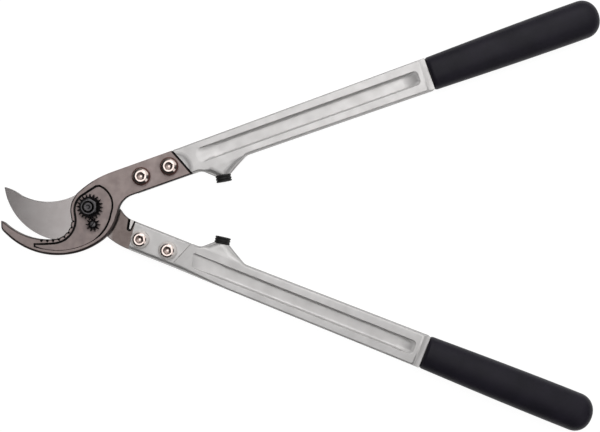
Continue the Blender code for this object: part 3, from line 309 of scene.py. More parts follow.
def mesh_of_rows(name: str, rings: Sequence[Sequence[Point3]], bored: bool = False) -> Mesh:
    """Skin a stack of rings that have as many points each.

    Args:
        name: Name of the mesh.
        rings: The rings, from one end of the solid to the other.
        bored: Join the last ring to the first, as on a tube, in place of closing both ends.

    Returns:
        A closed mesh with its faces pointing out.
    """
    draft = bmesh.new()
    rows = [[draft.verts.new(point) for point in ring] for ring in rings]
    pairs = list(zip(rows[:-1], rows[1:]))
    if bored:
        pairs.append((rows[-1], rows[0]))
    for lower, upper in pairs:
        for i in range(len(lower)):
            after = (i + 1) % len(lower)
            draft.faces.new((lower[i], lower[after], upper[after], upper[i]))
    if not bored:
        draft.faces.new(list(reversed(rows[0])))
        draft.faces.new(rows[-1])
    bmesh.ops.remove_doubles(draft, verts=draft.verts, dist=1e-7)
    bmesh.ops.recalc_face_normals(draft, faces=draft.faces)
    mesh = bpy.data.meshes.new(name)
    draft.to_mesh(mesh)
    draft.free()
    return mesh


def turned(name: str, profile: Outline, bored: bool = False, steps: int = ROUND_STEPS) -> Mesh:
    """Turn a profile about Z.

    Args:
        name: Name of the mesh.
        profile: (radius, height) points along the outside, all with a radius above 0.
        bored: The profile is closed and stays clear of the axis.
        steps: Number of facets round the axis.

    Returns:
        The turned solid.
    """
    turns = [2 * math.pi * i / steps for i in range(steps)]
    rings = [[(radius * math.cos(turn), radius * math.sin(turn), height) for turn in turns]
             for radius, height in profile]
    return mesh_of_rows(name, rings, bored)


def rim_shares(rim: Rim) -> Outline:
    """Course of a broken edge, from the side up to the face.

    Args:
        rim: Kind of edge.

    Returns:
        (inset, drop) pairs as shares of the edge's width.
    """
    if rim is Rim.ROUND:
        turns = [math.radians(angle) for angle in range(0, 91, RIM_STEP)]
        return [(1 - math.cos(turn), 1 - math.sin(turn)) for turn in turns]
    return bend(*CHAMFER_FOOT, 4) + bend(*CHAMFER_HEAD, 6)


def rimmed_plate(name: str, outline: Outline, bottom: float, top: float, lower: Sequence[float],
                 upper: Sequence[float], rim: Rim = Rim.ROUND) -> Mesh:
    """Plate whose edges are broken round both faces.

    Args:
        name: Name of the mesh.
        outline: Counter-clockwise plan.
        bottom: Height of the lower face.
        top: Height of the upper face.
        lower: Width of the broken edge at each point of the lower face.
        upper: The same for the upper face.
        rim: Shape of the upper edge; the lower one is always round.

    Returns:
        The plate as a closed mesh.
    """
    rings = []
    for way, level, widths, shares in ((1, bottom, lower, reversed(rim_shares(Rim.ROUND))),
                                       (-1, top, upper, rim_shares(rim))):
        for share_in, share_down in shares:
            plan = inset(outline, [width * share_in for width in widths])
            rings.append([(x, y, level + way * width * share_down) for (x, y), width in zip(plan, widths)])
    return mesh_of_rows(name, rings)


def prism(name: str, section: Sequence[Point3], shift: Point3) -> Mesh:
    """Straight prism from a closed section in space and the way from its first end to its second."""
    far = [tuple(a + b for a, b in zip(point, shift)) for point in section]
    return mesh_of_rows(name, [section, far])


def drill(radius: float, low: float, high: float, steps: int = ROUND_STEPS) -> Mesh:
    """Round cutter between two heights."""
    return turned("drill", [(radius, low), (radius, high)], steps=steps)


def at(point: Point, level: float = 0.0) -> Matrix:
    """Move to a point of the plan and a height."""
    return Matrix.Translation((*point, level))


def about_z(angle: float) -> Matrix:
    """Turn about Z by an angle in degrees."""
    return Matrix.Rotation(math.radians(angle), 4, "Z")


def moved(mesh: Mesh, place: Matrix) -> Mesh:
    """The same mesh after a move and turn."""
    mesh.transform(place)
    return mesh


def put(name: str, data: bpy.types.ID) -> bpy.types.Object:
    """New object in the scene that holds a mesh, a lamp or a camera."""
    made = bpy.data.objects.new(name, data)
    bpy.context.scene.collection.objects.link(made)
    return made


def carve(blank: Mesh, tools: Sequence[Mesh], job: Job = Job.CUT) -> Mesh:
    """Cut a mesh with others, or join them to it, keeping the number of each face's finish.

    Args:
        blank: Mesh to start from, which is used up.
        tools: Closed meshes, which are used up too.
        job: Whether they cut or are joined.

    Returns:
        The finished mesh, under the blank's name.
    """
    spares = [bpy.data.materials.get(name) or bpy.data.materials.new(name) for name in SPARES]
    for each in (blank, *tools):
        if not each.materials:
            for spare in spares:
                each.materials.append(spare)
    holder = put("blank", blank)
    holders = [holder]
    for tool in tools:
        cutter = put("cutter", tool)
        holders.append(cutter)
        change = holder.modifiers.new("cut", "BOOLEAN")
        change.operation = job.value
        change.solver = "EXACT"
        change.object = cutter
    bpy.context.view_layer.update()
    result = bpy.data.meshes.new_from_object(holder.evaluated_get(bpy.context.evaluated_depsgraph_get()))
    name = blank.name
    for each in holders:
        used = each.data
        bpy.data.objects.remove(each)
        bpy.data.meshes.remove(used)
    result.name = name
    return result


def hexagon_rings(across_flats: float, heights: Sequence[Point]) -> list[list[Point3]]:
    """Rings of a hexagon whose corners are turned off.

    Args:
        across_flats: Width of the hexagon.
        heights: (turned radius, height) of each ring.

    Returns:
        Rings with HEXAGON_STEPS points, a flat towards +X.
    """
    rings = []
    for turned_radius, height in heights:
        ring = []
        for i in range(HEXAGON_STEPS):
            angle = 2 * math.pi * i / HEXAGON_STEPS
            reach = across_flats / 2 / math.cos((angle + math.pi / 6) % (math.pi / 3) - math.pi / 6)
            radius = min(reach, turned_radius)
            ring.append((radius * math.cos(angle), radius * math.sin(angle), height))
        rings.append(ring)
    return rings


# Finishes

# Middle part of a noise that the tones and the gloss are spread over, and how much finer the gloss drifts.
TONE_SPAN = (0.35, 0.65)
GLOSS_SPAN = (0.3, 0.7)
GLOSS_PATCHES = 1.7


def linear(colour: str) -> Colour:
    """Colour for a shader from an sRGB hex value.

    Args:
        colour: Such as "#8a807c".

    Returns:
        Linear red, green, blue and an alpha of 1.
    """
    values = [int(colour[i:i + 2], 16) / 255 for i in (1, 3, 5)]
    red, green, blue = (v / 12.92 if v <= 0.04045 else ((v + 0.055) / 1.055) ** 2.4 for v in values)
    return (red, green, blue, 1.0)


def add_node(tree: Tree, kind: str, sockets: Mapping[str | int, Any] | None = None,
             **settings: Any) -> bpy.types.Node:
    """Add one shader node.

    Args:
        tree: Node tree that gets the node.
        kind: Blender's name of the node type after its ShaderNode prefix.
        sockets: What goes into each input, a value or another node's output.
        settings: Properties of the node itself.

    Returns:
        The new node.
    """
    node = tree.nodes.new("ShaderNode" + kind)
    for name, value in settings.items():
        setattr(node, name, value)
    for socket, value in (sockets or {}).items():
        if isinstance(value, Socket):
            tree.links.new(value, node.inputs[socket])
        else:
            node.inputs[socket].default_value = value
    return node


@dataclass(frozen=True)
class Finish:
    """A surface as its maker left it.

    It drifts between two tones and between two roughnesses (gloss) in patches of one size, and a grain
    of a given relief breaks up its reflections.
    """

    title: str
    slot: str
    light: str
    dark: str
    gloss: Point
    patch: float
    metallic: float = 1.0
    grain: float = 0.5 * MM
    relief: float = 0.006 * MM
    specular: float = 0.5

    def material(self) -> bpy.types.Material:
        """Material of this finish, made once."""
        known = bpy.data.materials.get(self.title)
        if known:
            return known
        made = bpy.data.materials.new(self.title)
        made.use_nodes = True
        tree = made.node_tree
        tree.nodes.clear()
        place = add_node(tree, "TexCoord").outputs["Object"]
        shader = add_node(tree, "BsdfPrincipled", {
            "Base Color": self.tone(tree, place),
            "Metallic": self.metallic,
            "Roughness": self.roughness(tree, place),
            "Specular IOR Level": self.specular,
            "Normal": self.normal(tree, place),
        })
        add_node(tree, "OutputMaterial", {"Surface": shader.outputs["BSDF"]})
        return made

    def tone(self, tree: Tree, place: Socket) -> Socket:
        """Colour that drifts between the two tones in soft patches.

        Args:
            tree: Material's node tree.
            place: Coordinates on the piece.

        Returns:
            The colour's output socket.
        """
        cloud = add_node(tree, "TexNoise", {"Vector": place, "Scale": 1 / self.patch, "Detail": 3.0,
                                            "Roughness": 0.55})
        share = add_node(tree, "MapRange", {"Value": cloud.outputs["Fac"], "From Min": TONE_SPAN[0],
                                            "From Max": TONE_SPAN[1]})
        mix = add_node(tree, "Mix", {0: share.outputs["Result"], 6: linear(self.dark), 7: linear(self.light)},
                       data_type="RGBA")
        return mix.outputs[2]

    def roughness(self, tree: Tree, place: Socket) -> Socket:
        """Roughness that drifts between the two ends of the gloss range.

        Args:
            tree: Material's node tree.
            place: Coordinates on the piece.

        Returns:
            The roughness's output socket.
        """
        cloud = add_node(tree, "TexNoise", {"Vector": place, "Scale": GLOSS_PATCHES / self.patch,
                                            "Detail": 4.0})
        span = add_node(tree, "MapRange", {"Value": cloud.outputs["Fac"], "From Min": GLOSS_SPAN[0],
                                           "From Max": GLOSS_SPAN[1], "To Min": self.gloss[0],
                                           "To Max": self.gloss[1]})
        return span.outputs["Result"]

    def height(self, tree: Tree, place: Socket) -> Socket:
        """Height pattern of the relief, from 0 to 1: an even grain on a plain finish.

        Args:
            tree: Material's node tree.
            place: Coordinates on the piece.

        Returns:
            The height's output socket.
        """
        grain = add_node(tree, "TexNoise", {"Vector": place, "Scale": 1 / self.grain, "Detail": 3.0,
                                            "Roughness": 0.6})
        return grain.outputs["Fac"]

    def normal(self, tree: Tree, place: Socket) -> Socket:
        """Normal bent by the relief."""
        height = self.height(tree, place)
        bump = add_node(tree, "Bump", {"Height": height, "Distance": self.relief, "Strength": 1.0})
        return bump.outputs["Normal"]


@dataclass(frozen=True)
class GroundFinish(Finish):
    """Steel that a grinding wheel went over, with fine parallel lines across the piece."""

    lines_along: float = 110.0
    line_spacing: float = 1.1 * MM
    line_length: float = 30 * MM
    line_share: float = 0.5

    def height(self, tree: Tree, place: Socket) -> Socket:
        """Height pattern of the relief: grinding lines over a fine grain.

        Args:
            tree: Material's node tree.
            place: Coordinates on the piece.

        Returns:
            The height's output socket.
        """
        grain = super().height(tree, place)
        long, across = 1 / self.line_length, 1 / self.line_spacing
        turn = (0, 0, -math.radians(self.lines_along))
        aimed = add_node(tree, "Mapping", {"Vector": place, "Rotation": turn})
        drawn = add_node(tree, "Mapping", {"Vector": aimed.outputs["Vector"], "Scale": (long, across, long)})
        lines = add_node(tree, "TexNoise", {"Vector": drawn.outputs["Vector"], "Scale": 1.0, "Detail": 3.0})
        both = add_node(tree, "Mix", {0: self.line_share, 2: grain, 3: lines.outputs["Fac"]},
                        data_type="FLOAT")
        return both.outputs[0]


@dataclass(frozen=True)
class BladeFinish(GroundFinish):
    """Ground steel whose tang keeps the darker skin of the forging."""

    skin_light: str = "#726865"
    skin_dark: str = "#665c59"
    skin_patch: float = 9 * MM
    skin_from: float = 13 * MM
    skin_full: float = 21 * MM

    def tone(self, tree: Tree, place: Socket) -> Socket:
        """Colour of the ground part, blended into that of the tang.

        Args:
            tree: Material's node tree.
            place: Coordinates on the piece.

        Returns:
            The colour's output socket.
        """
        ground = super().tone(tree, place)
        skin = replace(self, light=self.skin_light, dark=self.skin_dark, patch=self.skin_patch)
        along = add_node(tree, "SeparateXYZ", {0: place}).outputs["X"]
        share = add_node(tree, "MapRange", {"Value": along, "From Min": self.skin_from,
                                            "From Max": self.skin_full})
        forged = Finish.tone(skin, tree, place)
        mix = add_node(tree, "Mix", {0: share.outputs["Result"], 6: ground, 7: forged}, data_type="RGBA")
        return mix.outputs[2]


# Forged steel, shot blasted after hardening: a rough warm grey that mirrors the dark of the room and so looks
# dark and dull, with faint grinding lines on its flats.
FORGED_STEEL = GroundFinish(
    "forged_steel_blasted", "forged_steel", light="#c7b9b6", dark="#b9aba8", gloss=(0.66, 0.74), patch=9 * MM,
    grain=0.7 * MM, relief=0.012 * MM, line_share=0.45)
# The same steel in the sunk panel, which the wheel doesn't reach: a little duller, without lines.
FORGED_SKIN = Finish(
    "forged_steel_skin", "forged_steel", light="#c7b9b6", dark="#b8aba9", gloss=(0.70, 0.78), patch=8 * MM,
    grain=0.7 * MM, relief=0.014 * MM)
# Its slanted rims, pressed by the forging die: smoother, and painted much darker as shade.
FORGED_RIM_PAINTED_SHADE = replace(
    FORGED_SKIN, title="forged_steel_rim", light="#645b59", dark="#554d4b", gloss=(0.38, 0.48), patch=5 * MM,
    grain=0.6 * MM)
# Painted shade in corners, notches, recess walls, the tang's end and its inner side: a dull brown black.
STEEL_PAINTED_SHADE = Finish(
    "forged_steel_scale", "forged_steel", light="#141110", dark="#0d0b0b", gloss=(0.50, 0.65), patch=3 * MM,
    metallic=0.0, relief=0.02 * MM, specular=0.15)
# Blade steel, ground satin as far as the pivot and left as forged along the tang: a neutral, lighter grey
# with soft smears left by the wheel, and the forging's warm dark grey beyond.
GROUND_STEEL = BladeFinish(
    "blade_steel_ground", "ground_steel", light="#b0abaa", dark="#a7a1a0", gloss=(0.22, 0.25), patch=22 * MM,
    grain=0.9 * MM, relief=0.002 * MM, lines_along=40.0, line_share=0.6)
# The floor of the pocket in the blade's tang, milled after hardening: bright.
MILLED_STEEL = Finish(
    "steel_milled_bright", "ground_steel", light="#cfcbc9", dark="#c4c0be", gloss=(0.30, 0.40), patch=3 * MM,
    grain=0.4 * MM)
# Aluminium forging, bead blasted: pale and matt with a very fine, even grain, drawn at 0.6 mm so as to show.
BLASTED_ALUMINIUM = Finish(
    "aluminium_bead_blasted", "handle_aluminium", light="#dfdddc", dark="#d8d6d5", gloss=(0.50, 0.58),
    patch=16 * MM, grain=0.6 * MM, relief=0.016 * MM)
# The same forging along the steep part of every edge: duller, and painted darker as shade.
ALUMINIUM_EDGE_PAINTED_SHADE = replace(
    BLASTED_ALUMINIUM, title="aluminium_trimmed_edge", light="#b6b4b3", dark="#acaaa9", gloss=(0.60, 0.70),
    patch=8 * MM)
# Its channel walls, which the beads hardly reach: pale, under a chalky oxide that leaves little metal shine.
DRAWN_ALUMINIUM = replace(
    ALUMINIUM_EDGE_PAINTED_SHADE, title="aluminium_die_drawn", light="#dddbda", dark="#d2d0cf", gloss=(0.70, 0.80),
    metallic=0.1)
# Painted shadow in the narrow gap at the tang's end and on the seat under it: matt black.
GAP_PAINTED_SHADOW = Finish(
    "gap_grease_black", "handle_aluminium", light="#110f0f", dark="#0b0a0a", gloss=(0.60, 0.70), patch=3 * MM,
    metallic=0.0, relief=0.02 * MM, specular=0.15)
# Soft PVC sleeve, dipped: near black with a cool violet cast and a satin skin without sharp reflections.
GRIP_PVC = Finish(
    "grip_pvc_satin", "grip_sleeve", light="#26232d", dark="#201e26", gloss=(0.42, 0.50), patch=25 * MM,
    metallic=0.0, grain=0.8 * MM, specular=0.18)
# Rubber, moulded: matt black.
BUFFER_RUBBER = Finish(
    "buffer_rubber_moulded", "buffer_rubber", light="#1a1818", dark="#121111", gloss=(0.60, 0.75),
    patch=4 * MM, metallic=0.0, relief=0.02 * MM)
# Steel, black oxide over milled teeth and flanks: near black with a low oily shine.
BLACK_OXIDE = Finish(
    "steel_black_oxide", "blackened_steel", light="#171516", dark="#100e0f", gloss=(0.24, 0.34), patch=3 * MM,
    relief=0.010 * MM)
# The same oxide on the upward faces of the hexagon's crown, the screw's head and the bolt's end: a dark grey,
# painted highlight.
OXIDE_PAINTED_HIGHLIGHT = replace(
    BLACK_OXIDE, title="steel_oxide_worn", light="#575557", dark="#474547", relief=0.006 * MM)
# Bright nickel plate over turned steel: a warm white mirror that shows bright and dark bands of the studio.
NICKEL_PLATE = Finish(
    "steel_nickel_plated", "plated_steel", light="#ecdcd5", dark="#e0cfc8", gloss=(0.12, 0.18), patch=5 * MM,
    grain=0.9 * MM, relief=0.001 * MM)
# Painted shade on the walls inside the pressed socket: a warm grey, darker and duller than the plate.
SOCKET_PAINTED_SHADE = Finish(
    "steel_socket_dull", "plated_steel", light="#a8968f", dark="#94847e", gloss=(0.30, 0.40), patch=2 * MM,
    grain=0.4 * MM)
# Outer ring of the bolt heads on the hook's tang: a dull red brown, painted reflection and shade of the dark steel
# round them.
SKIRT_PAINTED_DARK_REFLECTION = Finish(
    "steel_skirt_oiled", "plated_steel", light="#7c5851", dark="#674841", gloss=(0.45, 0.55), patch=4 * MM,
    metallic=0.7)
# The same ring on the bolts on the aluminium lap: matt and nearly white, painted reflection of the pale aluminium
# round them.
SKIRT_PAINTED_PALE_REFLECTION = replace(
    SKIRT_PAINTED_DARK_REFLECTION, title="steel_skirt_dusted", light="#f2ece8", dark="#e8e1dd", gloss=(0.50, 0.60),
    metallic=0.0)
# Sintered bronze, turned: a dull brown yellow.
SINTERED_BRONZE = Finish(
    "bronze_sintered", "bearing_bronze", light="#b08a50", dark="#9c7740", gloss=(0.35, 0.50), patch=2 * MM,
    grain=0.3 * MM, relief=0.01 * MM)

# Finishes of the pieces that have several, the main one first.
HOOK_FINISHES = (FORGED_STEEL, FORGED_SKIN, STEEL_PAINTED_SHADE, FORGED_RIM_PAINTED_SHADE)
BLADE_FINISHES = (GROUND_STEEL, STEEL_PAINTED_SHADE, MILLED_STEEL, FORGED_RIM_PAINTED_SHADE)
HANDLE_FINISHES = (BLASTED_ALUMINIUM, GAP_PAINTED_SHADOW, ALUMINIUM_EDGE_PAINTED_SHADE, DRAWN_ALUMINIUM)
OXIDE_FINISHES = (BLACK_OXIDE, OXIDE_PAINTED_HIGHLIGHT)


def surfaced(mesh: Mesh, finishes: Sequence[Finish], slopes: Finish, flats: Finish,
             level: float = FLAT) -> Mesh:
    """Number the faces of a blank or cutter by the finish that each takes.

    Args:
        mesh: Blank or cutter.
        finishes: Finishes of the piece it belongs to.
        slopes: The one for faces that slope.
        flats: The one for level faces.
        level: How upright the normal of a level face is, up to 1.

    Returns:
        The same mesh.
    """
    sloping, flat = finishes.index(slopes), finishes.index(flats)
    for face in mesh.polygons:
        face.material_index = flat if abs(face.normal.z) > level else sloping
    return mesh


def add_piece(name: str, mesh: Mesh, finishes: Sequence[Finish], body: str, place: Matrix, node: str,
              crease: float = 32.0) -> None:
    """Put a finished piece in the place of its solid.

    Args:
        name: Name of the piece.
        mesh: Its mesh, in its own frame, with its faces numbered by finish.
        finishes: Its finishes, the main one first.
        body: Moving body that carries it.
        place: Where its own frame lies in the tool.
        node: The solid that it stands for.
        crease: Edges sharper than this angle stay hard.
    """
    numbers = [min(face.material_index, len(finishes) - 1) for face in mesh.polygons]
    mesh.materials.clear()
    for finish in finishes:
        mesh.materials.append(finish.material())
    mesh.polygons.foreach_set("material_index", numbers)
    mesh.transform(place)
    mesh.shade_smooth()
    mesh.set_sharp_from_angle(angle=math.radians(crease))
    piece = put(name, mesh)
    flat = piece.modifiers.new("flat_faces", "WEIGHTED_NORMAL")
    flat.mode = "FACE_AREA"
    flat.weight = 60
    flat.keep_sharp = True
    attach(piece, body)
    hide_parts(node)
    log.info("%s: %d faces, %s, rides on %s", name, len(mesh.polygons), finishes[0].title, body)


# The frame

@dataclass(frozen=True)
class Arm:
    """One arm of the tool: its body, its lean off the middle line and the height of the sliding plane."""

    side: Side
    lean: float
    plane: float

    @property
    def body(self) -> str:
        """Moving body that the arm's pieces ride on."""
        return "hook_arm" if self.side is Side.UPPER else "blade_arm"

    @property
    def place(self) -> Matrix:
        """Where the arm's own frame lies in the tool."""
        return at((0.0, 0.0), self.plane) @ about_z(self.lean * self.side.value)

    @property
    def handle_place(self) -> Matrix:
        """Where the shared handle forging lies: the lower one is turned over."""
        return self.place @ Matrix.Rotation(0.0 if self.side is Side.UPPER else math.pi, 4, "X")

    def levels(self, node: str) -> Point:
        """Heights of a solid's bottom and top over the sliding plane."""
        low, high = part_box(node)
        return low.z - self.plane, high.z - self.plane


def read_arms() -> dict[Side, Arm]:
    """Both arms, from the grips' mounts and the jaw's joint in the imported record."""
    mounts = {mount["name"]: mount for mount in frame["record"]["mounts"]}
    plane = next(joint for joint in frame["joints"] if joint["name"] == "jaw_pivot")["pos_m"][2]
    arms = {}
    for side in Side:
        x, y, _ = mounts[f"{side.word}_grip_hold"]["axis"]
        arms[side] = Arm(side, math.degrees(math.atan2(abs(y), x)), plane)
    return arms


@dataclass
class Tang:
    """The flat end of each steel jaw and the two bolts that hold it in the handle's lap."""

    offset: float = 10.9 * MM
    half_width: float = 13.4 * MM
    end_x: float = 95.3 * MM
    end_lean: float = 21.5
    lap_x: float = 46.7 * MM
    lap_lean: float = 7.4
    bolt_x: float = 55.4 * MM
    bolt_spacing: float = 28 * MM
    hole_radius: float = 4.3 * MM

    def bolt_places(self, side: Side) -> Iterator[tuple[str, Point]]:
        """Word and place of each bolt in its arm, from the head to the handle."""
        for number, word in enumerate(("front", "rear")):
            yield word, (self.bolt_x + number * self.bolt_spacing, side.value * self.offset)

    def slanted(self, x: float, lean: float) -> tuple[Point, Point]:
        """Outer and inner corner where a line leaning off square crosses the tang."""
        shift = math.tan(math.radians(lean)) * self.half_width
        return (x - shift, self.offset + self.half_width), (x + shift, self.offset - self.half_width)

    def holes(self, side: Side, bottom: float, top: float) -> list[Mesh]:
        """Cutters for the bolt holes, between two heights."""
        return [moved(drill(self.hole_radius, bottom, top), at(point))
                for _, point in self.bolt_places(side)]


def recess_wall(floor: float, face: float, draft: float, foot: float, lip: float) -> Outline:
    """Course of a drafted recess wall.

    Args:
        floor: Height of the recess floor.
        face: Height of the face it is sunk into.
        draft: How far the wall leans over its height.
        foot: Reach of the fillet at its foot.
        lip: Reach of the rounding at its top.

    Returns:
        (outward offset from the wall's middle, height) from the floor to just past the face.
    """
    way = Vector((draft, face - floor)).normalized()
    low, high = (-draft / 2, floor), (draft / 2, face)
    foot_end = (low[0] + way.x * foot, low[1] + way.y * foot)
    lip_start = (high[0] - way.x * lip, high[1] - way.y * lip)
    return bend((low[0] - foot, floor), low, foot_end) + bend(lip_start, high, (high[0] + lip, face + PAST))


@dataclass
class Jaw:
    """What hook and blade have in common: the arm, the tang and the heights of both faces."""

    arm: Arm
    tang: Tang
    node: ClassVar[str]

    @property
    def back(self) -> float:
        """Height of the face towards the pivot bolt's head."""
        return self.arm.levels(self.node)[0]

    @property
    def front(self) -> float:
        """Height of the face towards the nut."""
        return self.arm.levels(self.node)[1]


@dataclass
class Hook(Jaw):
    """Forged counter blade: the notched jaw, the hub with its sunk panel, and the upper tang."""

    node: ClassVar[str] = "hook"
    outer_centre: Point = (-20.9 * MM, 33 * MM)
    outer_radius: float = 69.6 * MM
    inner_centre: Point = (-27.7 * MM, 41.5 * MM)
    inner_radius: float = 60.4 * MM
    inner_angles: Point = (256.0, 207.9)
    root_radius: float = 18.2 * MM
    hub_centre: Point = (1.6 * MM, -3.7 * MM)
    hub_radius: float = 21.5 * MM
    hub_start: float = 123.0
    tip_angle: float = 201.7
    tip_steps: Points = ((1.9 * MM, 8.7 * MM), (-0.1 * MM, 2.6 * MM))
    shoulder_radius: float = 92 * MM
    shoulder_x: float = 30 * MM
    shoulder_span: float = 24.2
    heel_angle: float = 289.0
    heel_points: Points = ((16.6 * MM, -22.8 * MM), (24.3 * MM, -11.7 * MM))
    throat_radius: float = 19.5 * MM
    throat_span: float = 57.0
    outer_chamfer: float = 1.8 * MM
    jaw_chamfer: float = 1 * MM
    edge_break: float = 0.8 * MM
    back_break: float = 0.25 * MM
    rim_width: float = 4 * MM
    panel_depth: float = 0.9 * MM
    panel_draft: float = 1.9 * MM
    panel_low_share: float = 0.3
    panel_low_way: float = math.radians(-23.0)
    panel_low_from: float = 0.62
    panel_low_span: float = 0.22
    panel_dark_slope: float = -0.62
    panel_fillet: float = 0.22 * MM
    panel_hub_angle: float = 111.0
    panel_tip_angle: float = 239.5
    panel_tip_rim: float = 5.5 * MM
    panel_jaw_rim: float = 4.5 * MM
    panel_jaw_angles: Point = (231.0, 278.3)
    panel_heel: Points = ((6.2 * MM, -24.1 * MM), (16.5 * MM, -12.1 * MM))
    panel_side: Points = ((21.6 * MM, 1.2 * MM), (17.2 * MM, 13.6 * MM))
    panel_top: Points = ((15 * MM, 15.9 * MM), (11.8 * MM, 16.6 * MM))
    panel_chord: float = 0.2 * MM
    notch_count: int = 8
    notch_pitch: float = 5.3 * MM
    notch_half_width: float = 1 * MM
    notch_depth: float = 2 * MM
    notch_flare: float = 0.45 * MM
    notch_drop: float = 3.6 * MM
    notch_foot: Point = (0.2, 0.6)
    notch_foot_rise: float = 0.3 * MM
    first_notch: float = -23.4
    screw_depth: float = 5 * MM
    scaled_end: float = 0.85
    scaled_side: float = 0.3

    @property
    def root_centre(self) -> Point:
        """Centre of the root's arc, which runs on smoothly from the jaw's inner edge."""
        return on_circle(self.inner_centre, self.inner_radius - self.root_radius, self.inner_angles[0])

    def inner_edge(self, offset: float, hub_start: float, jaw_end: float) -> Outline:
        """Edge from the hub through the root and along the jaw.

        Args:
            offset: How far the edge is moved into the hook.
            hub_start: Angle on the hub where it starts.
            jaw_end: Angle on the jaw's arc where it ends.

        Returns:
            The edge's points.
        """
        hub, root = self.hub_radius - offset, self.root_radius + offset
        span = math.dist(self.hub_centre, self.root_centre)
        way = angle_from(self.hub_centre, self.root_centre)
        hub_end = way + self._spread(span, hub, root)
        root_start = way - 180.0 - self._spread(span, root, hub)
        around_hub = arc(self.hub_centre, hub, hub_start, hub_end)
        around_root = arc(self.root_centre, root, root_start, self.inner_angles[0] - 360.0)
        along_jaw = arc(self.inner_centre, self.inner_radius + offset, self.inner_angles[0], jaw_end)
        return around_hub[:-1] + around_root[:-1] + along_jaw

    @staticmethod
    def _spread(span: float, radius: float, other: float) -> float:
        """Angle between the line of two centres and the point where their circles meet."""
        cosine = (span ** 2 + radius ** 2 - other ** 2) / (2 * span * radius)
        return math.degrees(math.acos(min(1.0, cosine)))

    def outline(self) -> tuple[Outline, list[float]]:
        """Plan of the hook.

        Returns:
            The counter-clockwise outline, and the width of the broken edge at each of its points.
        """
        tang = self.tang
        outer_corner, inner_corner = tang.slanted(tang.end_x, tang.end_lean)
        shoulder_centre = (self.shoulder_x, outer_corner[1] - self.shoulder_radius)
        shoulder = arc(shoulder_centre, self.shoulder_radius, 90.0, 90.0 + self.shoulder_span)
        inner = self.inner_edge(0.0, self.hub_start, self.inner_angles[1])
        outer = arc(self.outer_centre, self.outer_radius, self.tip_angle, self.heel_angle)
        tip = [(outer[0][0] + x, outer[0][1] + y) for x, y in self.tip_steps]
        heel = arc_through(outer[-1], *self.heel_points)
        reach = math.sin(math.radians(self.throat_span)) * self.throat_radius
        throat_centre = (self.heel_points[1][0] + reach, inner_corner[1] - self.throat_radius)
        throat = arc(throat_centre, self.throat_radius, 90.0 + self.throat_span, 90.0)
        stretches = (([inner_corner, outer_corner] + shoulder, self.edge_break), (inner, self.jaw_chamfer),
                     (tip, self.jaw_chamfer), (outer, self.outer_chamfer), (heel[1:-2], self.outer_chamfer),
                     (heel[-2:] + throat, self.edge_break))
        width_at = {point: width for points, width in stretches for point in points}
        plan = spaced([point for points, _ in stretches for point in points])
        return plan, eased([width_at[point] for point in plan])

    def panel(self) -> Outline:
        """Plan of the sunk panel: inside the rim, narrowing along the jaw to a blunt tip."""
        root_end, tip_rim, tip_angle = self.inner_angles[0], self.panel_tip_rim, self.panel_tip_angle
        inner = self.inner_edge(self.rim_width, self.panel_hub_angle, root_end)
        bulge = self.inner_radius + self.rim_width + (tip_rim - self.rim_width) / 4
        upper = arc_through(inner[-1], on_circle(self.inner_centre, bulge, (root_end + tip_angle) / 2),
                            on_circle(self.inner_centre, self.inner_radius + tip_rim, tip_angle))
        lower = arc(self.outer_centre, self.outer_radius - self.panel_jaw_rim, *self.panel_jaw_angles)
        heel = arc_through(lower[-1], *self.panel_heel)
        side = arc_through(self.panel_heel[1], *self.panel_side)
        plan = inner + upper[1:] + lower + heel[1:] + side[1:] + list(self.panel_top)
        return spaced(plan, self.panel_chord)

    def wall_share(self, before: Point, after: Point) -> float:
        """Lean of the panel's wall between two points of its plan: least along the jaw's outer edge."""
        way = (Vector(after) - Vector(before)).normalized()
        along = way.dot(Vector((math.cos(self.panel_low_way), math.sin(self.panel_low_way))))
        least = min(1.0, max(0.0, (along - self.panel_low_from) / self.panel_low_span))
        return 1 - (1 - self.panel_low_share) * least

    def panel_cutter(self) -> Mesh:
        """Cutter for the panel, with a drafted wall and soft edges."""
        plan = self.panel()
        shares = eased([self.wall_share(plan[i - 1], plan[(i + 1) % len(plan)]) for i in range(len(plan))])
        rings = []
        for offset, height in recess_wall(self.front - self.panel_depth, self.front, self.panel_draft,
                                          self.panel_fillet, self.panel_fillet):
            rings.append(at_height(inset(plan, [-offset * share for share in shares]), height))
        rings.append([(x, y, self.front + BEYOND) for x, y, _ in rings[-1]])
        # The panel's walls take painted shade: black, and the lighter dark-rim grey where the wall faces +Y,
        # towards the lamps.
        cutter = surfaced(mesh_of_rows("panel", rings), HOOK_FINISHES, STEEL_PAINTED_SHADE, FORGED_SKIN)
        for face in cutter.polygons:
            if face.normal.y < self.panel_dark_slope:
                face.material_index = HOOK_FINISHES.index(FORGED_RIM_PAINTED_SHADE)
        return cutter

    def notch_places(self) -> Iterator[tuple[Point, float]]:
        """Place of each notch on the jaw's inner edge, and the way it is cut."""
        root_end = self.inner_angles[0] - 360.0
        step = math.degrees(self.notch_pitch / self.root_radius)
        jaw_step = math.degrees(self.notch_pitch / self.inner_radius)
        for number in range(self.notch_count):
            angle = self.first_notch - number * step
            if angle > root_end:
                yield on_circle(self.root_centre, self.root_radius, angle), angle
            else:
                jaw_angle = root_end + 360.0 - (root_end - angle) / step * jaw_step
                yield on_circle(self.inner_centre, self.inner_radius, jaw_angle), jaw_angle

